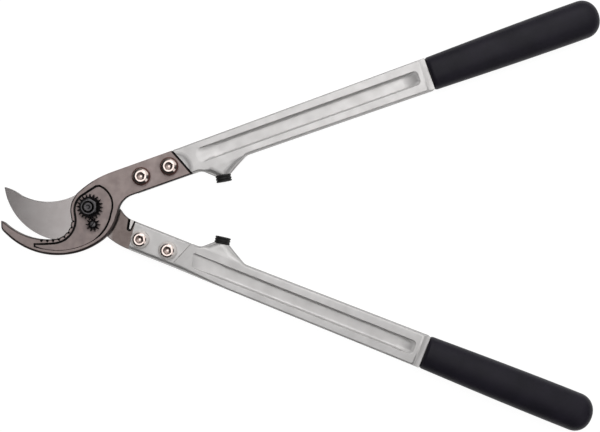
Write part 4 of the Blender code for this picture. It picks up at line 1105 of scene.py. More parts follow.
    def notch_cutters(self) -> list[Mesh]:
        """Cutters for the notches: steep scoops that open towards the front."""
        cutters = []
        for (x, y), angle in self.notch_places():
            half, flared = self.notch_half_width, self.notch_half_width + self.notch_flare
            low, front = self.front - self.notch_drop, self.front
            inner, outer = (share * half for share in self.notch_foot)
            profile = [(inner, low), (outer, low + self.notch_foot_rise), (half, front - MM),
                       (flared, front + PAST), (flared, front + BEYOND)]
            trough = turned("notch", profile, steps=20)
            trough.transform(Matrix.Diagonal((self.notch_depth / half, 1.0, 1.0, 1.0)))
            trough = moved(trough, at((x, y)) @ about_z(angle))
            # The notches are painted black as shade.
            cutters.append(surfaced(trough, HOOK_FINISHES, STEEL_PAINTED_SHADE, STEEL_PAINTED_SHADE))
        return cutters

    def number_rims(self, mesh: Mesh) -> None:
        """Give the rims painted shade: dark round the jaw, black on the tang's end and inner side.

        Args:
            mesh: The hook before it is cut.
        """
        surfaced(mesh, HOOK_FINISHES, FORGED_RIM_PAINTED_SHADE, FORGED_STEEL)
        # Painted shade and light by the way a rim faces: black on the tang's end and its side towards the blade,
        # plain steel on its side towards the lamps at +Y.
        for face in mesh.polygons:
            way, behind = face.normal, face.center.x > self.hub_radius / 2
            inner_side = way.y < -self.scaled_side and way.z < STEEP
            if behind and (way.x > self.scaled_end or inner_side):
                face.material_index = HOOK_FINISHES.index(STEEL_PAINTED_SHADE)
            elif behind and way.y > self.scaled_side:
                face.material_index = HOOK_FINISHES.index(FORGED_STEEL)

    def build(self, bore: float, screw_place: Point, screw_hole: float) -> None:
        """Make the hook.

        Args:
            bore: Radius of the pivot bore.
            screw_place: Where the lock wheel's screw goes in.
            screw_hole: Radius of its hole.
        """
        plan, widths = self.outline()
        mesh = rimmed_plate("hook_forging", plan, self.back, self.front, [self.back_break] * len(plan),
                            widths, Rim.CHAMFER)
        self.number_rims(mesh)
        below, above = self.back - BEYOND, self.front + BEYOND
        hole = drill(screw_hole, self.front - self.screw_depth, above, HOLE_STEPS)
        tools = [self.panel_cutter(), drill(bore, below, above), moved(hole, at(screw_place))]
        tools += self.tang.holes(self.arm.side, below, above)
        mesh = carve(mesh, tools + self.notch_cutters())
        add_piece("hook_forging", mesh, HOOK_FINISHES, self.arm.body, self.arm.place, "hook")


@dataclass
class Blade(Jaw):
    """Cutting blade: flat front, bevel ground on the back, and the lower tang with its pocket."""

    node: ClassVar[str] = "blade"
    edge_centre: Point = (-31.9 * MM, 17.1 * MM)
    edge_radius: float = 60 * MM
    edge_angles: Point = (209.9, 324.6)
    belly_point: Point = (31.5 * MM, -22.7 * MM)
    belly_end_x: float = 49.9 * MM
    nose_steps: Points = ((6.9 * MM, 0.3 * MM), (17.4 * MM, -1.4 * MM))
    spine: Points = ((-44.1 * MM, -11.9 * MM), (-20.2 * MM, 3.1 * MM))
    hub: Points = ((-16.5 * MM, 7.2 * MM), (-6.2 * MM, 16.8 * MM), (13 * MM, 13.5 * MM))
    brow: Points = ((20.5 * MM, 10.6 * MM), (27.5 * MM, 7.1 * MM))
    throat_point: Point = (32.2 * MM, 4.3 * MM)
    throat_end_x: float = 39 * MM
    bevel_width: float = 7.5 * MM
    tip_share: float = 0.30
    heel_share: float = 0.18
    land: float = 0.3 * MM
    edge_break: float = 0.5 * MM
    pocket_mouth: Point = (36 * MM, 44.2 * MM)
    pocket_end: Point = (38.9 * MM, 43.5 * MM)
    pocket_length: float = 10.6 * MM
    pocket_corner: float = 2.1 * MM
    pocket_depth: float = 2.5 * MM
    pocket_draft: float = 1.7 * MM
    pocket_foot: float = 0.4 * MM
    pocket_lip: float = 0.15 * MM
    pocket_past: float = 2 * MM

    def outline(self) -> tuple[Outline, int]:
        """Plan of the blade.

        Returns:
            The counter-clockwise outline, which starts along the cutting edge, and how many of its points
            lie on that edge.
        """
        tang = self.tang
        edge = arc(self.edge_centre, self.edge_radius, *self.edge_angles)
        back_end = [(x, -y) for x, y in tang.slanted(tang.end_x, tang.end_lean)]
        belly = arc_through(edge[-1], self.belly_point, (self.belly_end_x, back_end[0][1]))
        throat = arc_through((self.throat_end_x, back_end[1][1]), self.throat_point, self.brow[1])
        brow = arc_through(self.brow[1], self.brow[0], self.hub[2])
        hub = arc_through(*reversed(self.hub))
        nose_middle, nose_start = [(edge[0][0] + x, edge[0][1] + y) for x, y in self.nose_steps]
        spine = arc_through(self.spine[1], self.spine[0], nose_start)
        nose = arc_through(nose_start, nose_middle, edge[0])
        points = edge + belly[1:] + back_end + throat + brow[1:] + hub[1:] + spine + nose[1:-1]
        return spaced(points), len(edge)

    def bevel_widths(self, count: int, total: int) -> list[float]:
        """Width of the ground bevel at each point: nothing at the tip, full along the edge."""
        widths = [0.0] * total
        for i in range(1, count - 1):
            along = i / (count - 1)
            ramp = min(1.0, along / self.tip_share, (1.0 - along) / self.heel_share)
            widths[i] = self.bevel_width * math.sin(math.pi / 2 * ramp)
        return widths

    def pocket_cutter(self) -> Mesh:
        """Cutter for the pocket in the tang's inner edge, with drafted walls."""
        tang_edge = self.tang.half_width - self.tang.offset
        mouth, end = tang_edge + self.pocket_past, tang_edge - self.pocket_length
        corner = self.pocket_corner
        plan = filleted([(self.pocket_mouth[0], mouth, 0), (self.pocket_end[0], end, corner),
                         (self.pocket_end[1], end, corner), (self.pocket_mouth[1], mouth, 0)])
        rings = []
        for offset, height in recess_wall(self.front - self.pocket_depth, self.front, self.pocket_draft,
                                          self.pocket_foot, self.pocket_lip):
            rings.append(at_height(inset(plan, [self.pocket_draft / 2 - offset] * len(plan)), height))
        rings.append([(x, y, self.front + BEYOND) for x, y, _ in rings[-1]])
        # The pocket's walls are painted black as shade; its floor keeps the milled steel.
        return surfaced(mesh_of_rows("pocket", rings), BLADE_FINISHES, STEEL_PAINTED_SHADE, MILLED_STEEL)

    def build(self, bore: float) -> None:
        """Make the blade around a pivot bore of a given radius."""
        plan, edge_count = self.outline()
        widths = self.bevel_widths(edge_count, len(plan))
        rims = [0.0 if width else self.edge_break for width in widths]
        lower = inset(plan, [max(width, rim) for width, rim in zip(widths, rims)])
        back_rim = [(x, y, self.back + rim if rim else self.front - self.land)
                    for (x, y), rim in zip(plan, rims)]
        front_rim = [(x, y, self.front - rim) for (x, y), rim in zip(plan, rims)]
        rings = [at_height(lower, self.back), back_rim, front_rim, at_height(inset(plan, rims), self.front)]
        mesh = mesh_of_rows("blade_forging", rings)
        # The tang's side faces behind the brow take the dark rim steel: painted shade.
        for face in mesh.polygons:
            if abs(face.normal.z) < FLAT and face.center.x > self.brow[0][0]:
                face.material_index = BLADE_FINISHES.index(FORGED_RIM_PAINTED_SHADE)
        below, above = self.back - BEYOND, self.front + BEYOND
        tools = [drill(bore, below, above), self.pocket_cutter()]
        mesh = carve(mesh, tools + self.tang.holes(self.arm.side, below, above))
        add_piece("blade_forging", mesh, BLADE_FINISHES, self.arm.body, self.arm.place, "blade", crease=20.0)


@dataclass(frozen=True)
class EdgeSection:
    """Section of an edge that is rounded along a sweep."""

    place: Point
    out: Point
    level: float
    radius: float
    far: float = 5 * MM

    def ring(self, face: int) -> list[Point3]:
        """Cutter's section across the edge of one face: the corner outside its rounding."""
        far, radius = self.far, self.radius
        turns = [math.radians(angle) for angle in range(0, 91, EDGE_STEP)]
        course = [(PAST - radius * (1 - math.cos(turn)), self.level + PAST - radius * (1 - math.sin(turn)))
                  for turn in turns]
        course += [(-radius, self.level + far), (far, self.level + far), (far, self.level - radius)]
        return [(self.place[0] + self.out[0] * out, self.place[1] + self.out[1] * out, face * height)
                for out, height in course]


def edge_cutter(sections: Sequence[EdgeSection], face: int) -> Mesh:
    """Cutter that rounds the edge of the front (1) or the back (-1) through the given sections."""
    mesh = mesh_of_rows("edge", [section.ring(face) for section in sections])
    # Steep faces of the rounded edge take the darker edge aluminium: painted shade.
    return surfaced(mesh, HANDLE_FINISHES, ALUMINIUM_EDGE_PAINTED_SHADE, BLASTED_ALUMINIUM, STEEP)


@dataclass(frozen=True)
class Channel:
    """Head end of the channel in one face: 1 is the front and -1 the back.

    Its floor begins to fall at start and has fallen after the run-out, which lies later by the lean on the
    outer side. The corner is the plan's fillet.
    """

    face: int
    start: float
    runout: float
    corner: float
    lean: float = 0.0


@dataclass
class Handle:
    """Channelled aluminium forging from the lap to the bar inside the grip, shared by both arms.

    Its seat is the frame in which the buffer stands on the boss, with +Z pointing out.
    """

    tang: Tang
    seat: Matrix
    stem_hole: Point
    thickness: float = 16 * MM
    length: float = 297.3 * MM
    end_half_width: float = 15.6 * MM
    rim_radius: float = 2 * MM
    outer_radius: float = 4.8 * MM
    inner_radius: float = 1.6 * MM
    boss_radius: float = 7 * MM
    boss_edge_from: float = 3 * MM
    boss_edge_full: float = 0.6
    lap_corner: float = 0.6 * MM
    tip_corner: float = 0.7 * MM
    end_corner: float = 0.8 * MM
    bar_corner: float = 3 * MM
    taper_x: float = 100 * MM
    lap_thickness: float = 6.3 * MM
    web: float = 5 * MM
    recess_half_width: float = 6.7 * MM
    recess_draft: float = 0.9 * MM
    recess_foot: float = 1.9 * MM
    recess_lip: float = 0.6 * MM
    recess_end_inset: float = 10.7 * MM
    recess_wall_steps: int = 5
    least_corner: float = 0.4 * MM
    grip_corner: float = 4.2 * MM
    channels: tuple[Channel, ...] = (Channel(1, 110 * MM, 24 * MM, 5.5 * MM),
                                     Channel(-1, 106 * MM, 34 * MM, 1.8 * MM, 4.5 * MM))
    back_fade: float = 2.4
    grip_runout: float = 13 * MM
    grip_fade: float = 0.8
    ramp_place: Point = (-7.8 * MM, -4.4 * MM)
    ramp_radius: float = 16.7 * MM
    ramp_depth: float = 1 * MM
    ramp_reach: float = 9 * MM
    ramp_steep: float = 4 * MM
    ramp_lip: float = 2 * MM
    ramp_lip_from: float = 0.3 * MM
    ramp_middle: float = 0.36
    end_gap: float = 1.4 * MM
    relief_length: float = 10.5 * MM
    relief_start: Points = ((0.3 * MM, 0.0), (0.6 * MM, -0.5 * MM), (1.4 * MM, -0.55 * MM))
    relief_end: Points = ((-2 * MM, 0.15 * MM), (0.0, 0.0), (2 * MM, -PAST))
    collar_length: float = 8.5 * MM
    collar_slope: float = 6.5 * MM
    collar_step: float = 1 * MM
    collar_corner: float = 0.5 * MM
    bar_half_width: float = 10 * MM
    bar_length: float = 150 * MM
    seat_half_width: float = 7.6 * MM
    head_toe: float = 10.5 * MM
    grip_toe: float = 19.5 * MM
    toe_radius: float = 10 * MM
    boss_step: float = 0.4 * MM
    boss_step_reach: float = 7 * MM
    boss_slope: float = 1.0
    boss_hinge: float = 0.8 * MM

    @property
    def half(self) -> float:
        """Half of the forging's thickness."""
        return self.thickness / 2

    @property
    def end_x(self) -> float:
        """Where the forging ends against the grip."""
        return self.tang.lap_x + self.length

    @property
    def bar_half_thickness(self) -> float:
        """Half of the thickness of the bar inside the grip."""
        return self.bar_half_width / 2

    @property
    def hinge(self) -> float:
        """Place across the handle where the boss's face begins to leave the flange."""
        return self.tang.offset - self.half_width(self.seat.translation.x) + self.boss_hinge

    def half_width(self, x: float) -> float:
        """Half of the forging's width at a place along it."""
        share = max(0.0, (x - self.taper_x) / (self.end_x - self.taper_x))
        return self.tang.half_width + (self.end_half_width - self.tang.half_width) * share

    @property
    def corners(self) -> list[Point3]:
        """Corners of the forging's plan as (x, y, fillet radius), counter-clockwise."""
        middle = self.tang.offset
        head, grip = (self.seat @ Vector((side * self.seat_half_width, 0.0, -CLEARANCE)) for side in (-1, 1))
        toes = [head.x - self.head_toe, grip.x + self.grip_toe]
        lap_outer, lap_inner = self.tang.slanted(self.tang.lap_x, -self.tang.lap_lean)
        end, bar = self.end_x, self.bar_half_width
        return [
            (*lap_inner, self.lap_corner),
            (toes[0], middle - self.half_width(toes[0]), self.toe_radius),
            (head.x, head.y, self.tip_corner),
            (grip.x, grip.y, self.tip_corner),
            (toes[1], middle - self.half_width(toes[1]), self.toe_radius),
            (end, middle - self.half_width(end), self.end_corner),
            (end, middle - bar, 0.0),
            (end + self.bar_length, middle - bar, self.bar_corner),
            (end + self.bar_length, middle + bar, self.bar_corner),
            (end, middle + bar, 0.0),
            (end, middle + self.half_width(end), self.end_corner),
            (self.taper_x, lap_outer[1], 0.0),
            (*lap_outer, self.lap_corner),
        ]

    def blank(self) -> Mesh:
        """Forging with rounded rims before it is cut."""
        corners, radius = self.corners, self.rim_radius
        rings = []
        for face, shares in ((-1, reversed(rim_shares(Rim.ROUND))), (1, rim_shares(Rim.ROUND))):
            for share_in, share_down in shares:
                plan = filleted_inset(corners, radius * share_in)
                rings.append(at_height(plan, face * (self.half - radius * share_down)))
        mesh = mesh_of_rows("handle_forging", rings)
        # Steep faces of the rims take the darker edge aluminium: painted shade.
        return surfaced(mesh, HANDLE_FINISHES, ALUMINIUM_EDGE_PAINTED_SHADE, BLASTED_ALUMINIUM, STEEP)

    def recess_ends(self, depth: float) -> tuple[float, float, float]:
        """How far the channel's floor has run out at a depth.

        Args:
            depth: Share of the channel's depth, from 0 at the face to 1 at its floor.

        Returns:
            Shares of the run-outs at the front's head end, the back's head end and the grip end.
        """
        back, grip = (-math.log(1 - (1 - math.exp(-fade)) * depth) / fade
                      for fade in (self.back_fade, self.grip_fade))
        return 0.5 - math.sin(math.asin(1 - 2 * depth) / 3), back, grip

    def recess_cutter(self, channel: Channel) -> Mesh:
        """Cutter for a channel.

        Args:
            channel: Which face it is in, and its head end.

        Returns:
            The cutter: a drafted pocket with round corners that runs out smoothly at both ends.
        """
        floor, top = self.web / 2, self.half
        middle, end = self.tang.offset, self.end_x - self.recess_end_inset
        rings, steps = [], self.recess_wall_steps
        wall = recess_wall(floor, top, self.recess_draft, self.recess_foot, self.recess_lip)
        foot, lip = wall[:BEND_STEPS + 1], wall[BEND_STEPS + 1:]
        between = [tuple(a + (b - a) * k / steps for a, b in zip(foot[-1], lip[0])) for k in range(1, steps)]
        for offset, height in foot + between + lip:
            shrink = self.recess_draft / 2 + self.recess_lip - offset
            depth = min(1.0, max(0.0, (top - height) / (top - floor)))
            front_share, back_share, grip_share = self.recess_ends(depth)
            left = channel.start + channel.runout * (front_share if channel.face > 0 else back_share)
            right = end + self.recess_lip - shrink - self.grip_runout * grip_share
            half = self.recess_half_width + self.recess_lip - shrink
            head, grip = max(self.least_corner, channel.corner - shrink / 2), self.grip_corner - shrink / 2
            plan = filleted([(left, middle - half, head), (right, middle - half, grip),
                             (right, middle + half, grip), (left + channel.lean, middle + half, head)])
            rings.append(at_height(plan, channel.face * height))
        rings.append([(x, y, channel.face * (top + BEYOND)) for x, y, _ in rings[-1]])
        mesh = mesh_of_rows("channel", rings)
        return surfaced(mesh, HANDLE_FINISHES, DRAWN_ALUMINIUM, BLASTED_ALUMINIUM, NEAR_FLAT)

    def side_cutter(self, profile: Outline, lean: float) -> Mesh:
        """Prism across the forging from a side view of (x, z) points, leaning like the tang's end."""
        reach = 4 * self.tang.half_width
        shift = math.tan(math.radians(lean)) * reach
        section = [(x + shift, self.tang.offset - reach, z) for x, z in profile]
        return prism("side_cut", section, (-2 * shift, 2 * reach, 0.0))

    def lap_cutters(self, seat_level: float) -> list[Mesh]:
        """Cutters for the tang's seat and for the relief behind the lap.

        Args:
            seat_level: Height of the seat that the tang lies on.

        Returns:
            Both cutters.
        """
        tang = self.tang
        wall, before, above = tang.end_x + self.end_gap, 0.0, 2 * self.thickness
        seat = [(before, seat_level), (wall, seat_level), (wall, above), (before, above)]
        back, face = seat_level - self.lap_thickness, -self.half - PAST
        start, end = tang.end_x, tang.end_x + self.relief_length
        slope = [(start, back)] + bend(*((start + x, back + z) for x, z in self.relief_start), 4)
        slope += bend(*((end + x, face + z) for x, z in self.relief_end))
        relief = [(before, back)] + slope + [(slope[-1][0], -above), (before, -above)]
        # The seat's cut, both the gap at the tang's end and the seat under the tang, is painted black as shadow.
        gap = surfaced(self.side_cutter(seat, tang.end_lean), HANDLE_FINISHES, GAP_PAINTED_SHADOW, GAP_PAINTED_SHADOW)
        return [gap, self.side_cutter(relief, tang.end_lean)]

    def lap_edges(self, seat_level: float) -> list[Mesh]:
        """Cutters that round both edges of the lap's back, the outer one generously.

        Args:
            seat_level: Height of the seat that the tang lies on.

        Returns:
            One sweep for each edge, which follows the relief behind the lap and runs out into the common rim.
        """
        half, rise = self.half, self.tang.end_x
        low, after = self.lap_thickness - seat_level, rise + self.relief_length
        wide, narrow, rim = self.outer_radius, self.inner_radius, self.rim_radius
        outer = [(0.0, low, wide), (rise, low, wide), (after, half, wide),
                 (after + 4 * self.relief_length, half, rim)]
        inner = [(0.0, low, narrow), (rise, low, narrow), (after, half, rim)]
        cutters = []
        for side, stops in ((1, outer), (-1, inner)):
            places = [(x, self.tang.offset + side * self.half_width(x)) for x, _, _ in stops]
            cutters.append(edge_cutter([EdgeSection(place, (0.0, side), level, radius)
                                        for place, (_, level, radius) in zip(places, stops)], -1))
        return cutters

    def boss_level(self, y: float) -> float:
        """Height of the boss's face: a soft step down from the flange, then a slope to the buffer's seat."""
        share = min(1.0, max(0.0, (self.hinge - y) / self.boss_step_reach))
        past = max(0.0, self.hinge - self.boss_step_reach - y)
        stepped = self.half - self.boss_step * share * share * (3 - 2 * share)
        return stepped - math.tan(math.radians(self.boss_slope)) * past

    def boss_edges(self, face: int) -> list[Mesh]:
        """Cutters that round both slanted edges of the boss on one face.

        Args:
            face: 1 for the front and -1 for the back.

        Returns:
            One sweep for each edge, which runs out into the common rim at the toe.
        """
        corners = self.corners
        cutters = []
        for toe, tip in ((1, 2), (4, 3)):
            low, high = Vector(corners[toe][:2]), Vector(corners[tip][:2])
            way = (high - low).normalized()
            out = (way.y, -way.x) if toe < tip else (-way.y, way.x)
            length = (high - low).length
            stops = [(self.boss_edge_from, self.rim_radius), (length * self.boss_edge_full, self.boss_radius),
                     (length + 2 * self.boss_radius, self.boss_radius)]
            places = [(low + way * along, radius) for along, radius in stops]
            sections = [EdgeSection(tuple(place), out, self.boss_level(place.y), radius)
                        for place, radius in places]
            cutters.append(edge_cutter(sections, face))
        return cutters

    def ramp_cutter(self) -> Mesh:
        """Cutter for the round slope that runs down to the tang's end."""
        rim, floor, face = self.ramp_radius, self.half - self.ramp_depth, self.half
        middle = (rim - self.ramp_lip, face - self.ramp_middle * self.ramp_depth)
        profile = bend((rim - self.ramp_reach, floor), (rim - self.ramp_steep, floor), middle, 8)[:-1]
        profile += bend(middle, (rim - self.ramp_lip_from, face), (rim + self.ramp_lip, face + PAST), 6)
        profile.append((rim + self.ramp_lip, face + BEYOND))
        x, y = self.tang.end_x + self.ramp_place[0], self.tang.offset + self.ramp_place[1]
        return moved(turned("ramp", profile), at((x, y)))

    def collar_cutter(self, face: int) -> Mesh:
        """Cutter that thins one face beside the grip and frees the bar inside it."""
        start, end, corner = self.end_x - self.collar_length, self.end_x, self.collar_corner
        low, bar, high = self.half - self.collar_step, self.bar_half_thickness, 2 * self.thickness
        far = end + self.bar_length + self.thickness
        points = s_curve((start, self.half + PAST), (start + self.collar_slope, low))
        points += bend((end - corner, low), (end, low), (end, low - corner))
        points += [(end, bar), (far, bar), (far, high), (start, high)]
        return self.side_cutter([(x, face * z) for x, z in points], 0.0)

    def boss_cutter(self, face: int) -> Mesh:
        """Cutter that sets the boss's face back from the flange and slopes it to the buffer's seat.

        Args:
            face: 1 for the front and -1 for the back.

        Returns:
            The cutter.
        """
        hinge, reach = self.hinge, self.thickness
        step = s_curve((hinge, self.half + PAST), (hinge - self.boss_step_reach, self.half - self.boss_step))
        drop = math.tan(math.radians(self.boss_slope)) * reach
        far = (step[-1][0] - reach, step[-1][1] - drop)
        section = step + [far, (far[0], 2 * self.thickness), (hinge, 2 * self.thickness)]
        start = self.seat.translation.x - self.seat_half_width - 2 * self.head_toe
        length = 2 * self.seat_half_width + 2 * self.head_toe + 2 * self.grip_toe
        return prism("boss", [(start, y, face * z) for y, z in section], (length, 0.0, 0.0))

    def build(self, arms: Mapping[Side, Arm]) -> None:
        """Make the forging and place it in both arms."""
        upper = arms[Side.UPPER]
        self.thickness = 2 * upper.levels("upper_handle")[1]
        seat_level = -CLEARANCE / 2
        tools = self.lap_cutters(seat_level) + self.lap_edges(seat_level) + [self.ramp_cutter()]
        for channel in self.channels:
            face = channel.face
            tools += [self.recess_cutter(channel), self.collar_cutter(face), self.boss_cutter(face)]
            tools += self.boss_edges(face)
        tools += self.tang.holes(Side.UPPER, -self.half, self.half)
        radius, depth = self.stem_hole
        tools.append(moved(drill(radius, -depth, BEYOND, HOLE_STEPS), self.seat))
        mesh = carve(self.blank(), tools)
        for side, arm in arms.items():
            add_piece(f"{side.word}_handle_forging", mesh.copy(), HANDLE_FINISHES, arm.body, arm.handle_place,
                      f"{side.word}_handle")


@dataclass
class Grip:
    """Smooth sleeve that swells towards a rounded end."""

    handle: Handle
    length: float = 169.4 * MM
    swell_length: float = 147.5 * MM
    start_half: Point = (16 * MM, 11.8 * MM)
    end_half_width: float = 18.2 * MM
    lip_radius: float = 3.4 * MM
    end_radius: float = 15 * MM
    end_shrink: Point = (15 * MM, 10 * MM)
    end_turns: tuple[int, ...] = (*range(7, 84, 7), 87, 90)
    squareness: float = 2.15
    section_points: int = 96
    stations: int = 36

    def section(self, half_width: float, half_thickness: float, x: float) -> list[Point3]:
        """Ring of points across the sleeve: between an ellipse and a rounded box."""
        ring = []
        power = 2 / self.squareness
        for i in range(self.section_points):
            turn = 2 * math.pi * i / self.section_points
            c, s = math.cos(turn), math.sin(turn)
            ring.append((x, self.handle.tang.offset + half_width * math.copysign(abs(c) ** power, c),
                         half_thickness * math.copysign(abs(s) ** power, s)))
        return ring

    def rings(self, end_half_thickness: float) -> list[list[Point3]]:
        """Rings from the lip to the end.

        Args:
            end_half_thickness: Half of the thickness where the sleeve carries the tool's weight.

        Returns:
            One ring for each place along the sleeve.
        """
        start = self.handle.end_x + CLEARANCE
        swell_end = start + self.length - self.end_radius
        places = []
        for turn in (math.radians(angle) for angle in range(90, -1, -RIM_STEP)):
            shrink = self.lip_radius * (1 - math.cos(turn))
            places.append((start + self.lip_radius * (1 - math.sin(turn)), shrink, shrink))
        count = self.stations
        places += [(start + (swell_end - start) * i / count, 0.0, 0.0) for i in range(1, count + 1)]
        for turn in (math.radians(angle) for angle in self.end_turns):
            narrower, thinner = (shrink * (1 - math.cos(turn)) for shrink in self.end_shrink)
            places.append((swell_end + self.end_radius * math.sin(turn), narrower, thinner))
        rings = []
        for x, narrower, thinner in places:
            ease = math.sin(math.pi / 2 * min(1.0, (x - start) / self.swell_length))
            width = self.start_half[0] + (self.end_half_width - self.start_half[0]) * ease
            thickness = self.start_half[1] + (end_half_thickness - self.start_half[1]) * ease
            rings.append(self.section(width - narrower, thickness - thinner, x))
        return rings

    def build(self, arms: Mapping[Side, Arm]) -> None:
        """Make the sleeve and place it on both handles."""
        plane = arms[Side.UPPER].plane
        handle = self.handle
        blank = mesh_of_rows("grip_sleeve", self.rings(plane))
        half, thick = handle.bar_half_width + CLEARANCE, handle.bar_half_thickness + CLEARANCE
        start, middle = handle.end_x - BEYOND, handle.tang.offset
        corners = ((-half, -thick), (half, -thick), (half, thick), (-half, thick))
        section = [(start, middle + y, z) for y, z in corners]
        mesh = carve(blank, [prism("bore", section, (BEYOND + handle.bar_length + CLEARANCE, 0.0, 0.0))])
        for side, arm in arms.items():
            add_piece(f"{side.word}_grip_sleeve", mesh.copy(), (GRIP_PVC,), arm.body, arm.handle_place,
                      f"{side.word}_grip", crease=50.0)


@dataclass
class Buffer:
    """Grooved rubber stop that meets its twin as the jaws close."""

    meet_angle: float = 8.85
    reach: float = 128.5 * MM
    diameter: float = 14.8 * MM
    height: float = 6.2 * MM
    lands: int = 3
    groove: float = 0.6 * MM
    groove_steps: int = 6
    stem_radius: float = 3 * MM
    stem_length: float = 6.5 * MM
    corner: float = 0.6 * MM

    @property
    def seat(self) -> Matrix:
        """Frame of the seat in the upper arm, +Z pointing out towards the other buffer."""
        meet = math.radians(self.meet_angle)
        out = Vector((-math.sin(meet), -math.cos(meet), 0.0))
        along = Vector((math.cos(meet), -math.sin(meet), 0.0))
        turn = Matrix((along, out.cross(along), out)).transposed()
        return Matrix.Translation(along * self.reach - out * self.height) @ turn.to_4x4()

    @property
    def stem_hole(self) -> Point:
        """Radius and depth of the hole for the stem."""
        return self.stem_radius + CLEARANCE, self.stem_length + CLEARANCE

    def profile(self) -> Outline:
        """Side of the rubber from its face down to the stem: lands with round grooves between them."""
        radius, top, steps = self.diameter / 2, self.height, self.groove_steps
        band = top / (2 * self.lands - 1)
        points = bend((radius - self.corner, top), (radius, top), (radius, top - self.corner))
        for number in range(self.lands - 1):
            groove_top = top - band * (2 * number + 1)
            points += [(radius - self.groove * math.sin(math.pi * k / steps), groove_top - band * k / steps)
                       for k in range(steps + 1)]
        points += bend((radius, self.corner / 2), (radius, 0.0), (radius - self.corner / 2, 0.0), 3)
        return points + [(self.stem_radius, 0.0), (self.stem_radius, -self.stem_length)]

    def build(self, arms: Mapping[Side, Arm]) -> None:
        """Make both buffers."""
        for side, arm in arms.items():
            stop = turned("buffer", self.profile())
            add_piece(f"{side.word}_rubber_stop", stop, (BUFFER_RUBBER,), arm.body,
                      arm.handle_place @ self.seat, f"{side.word}_buffer")


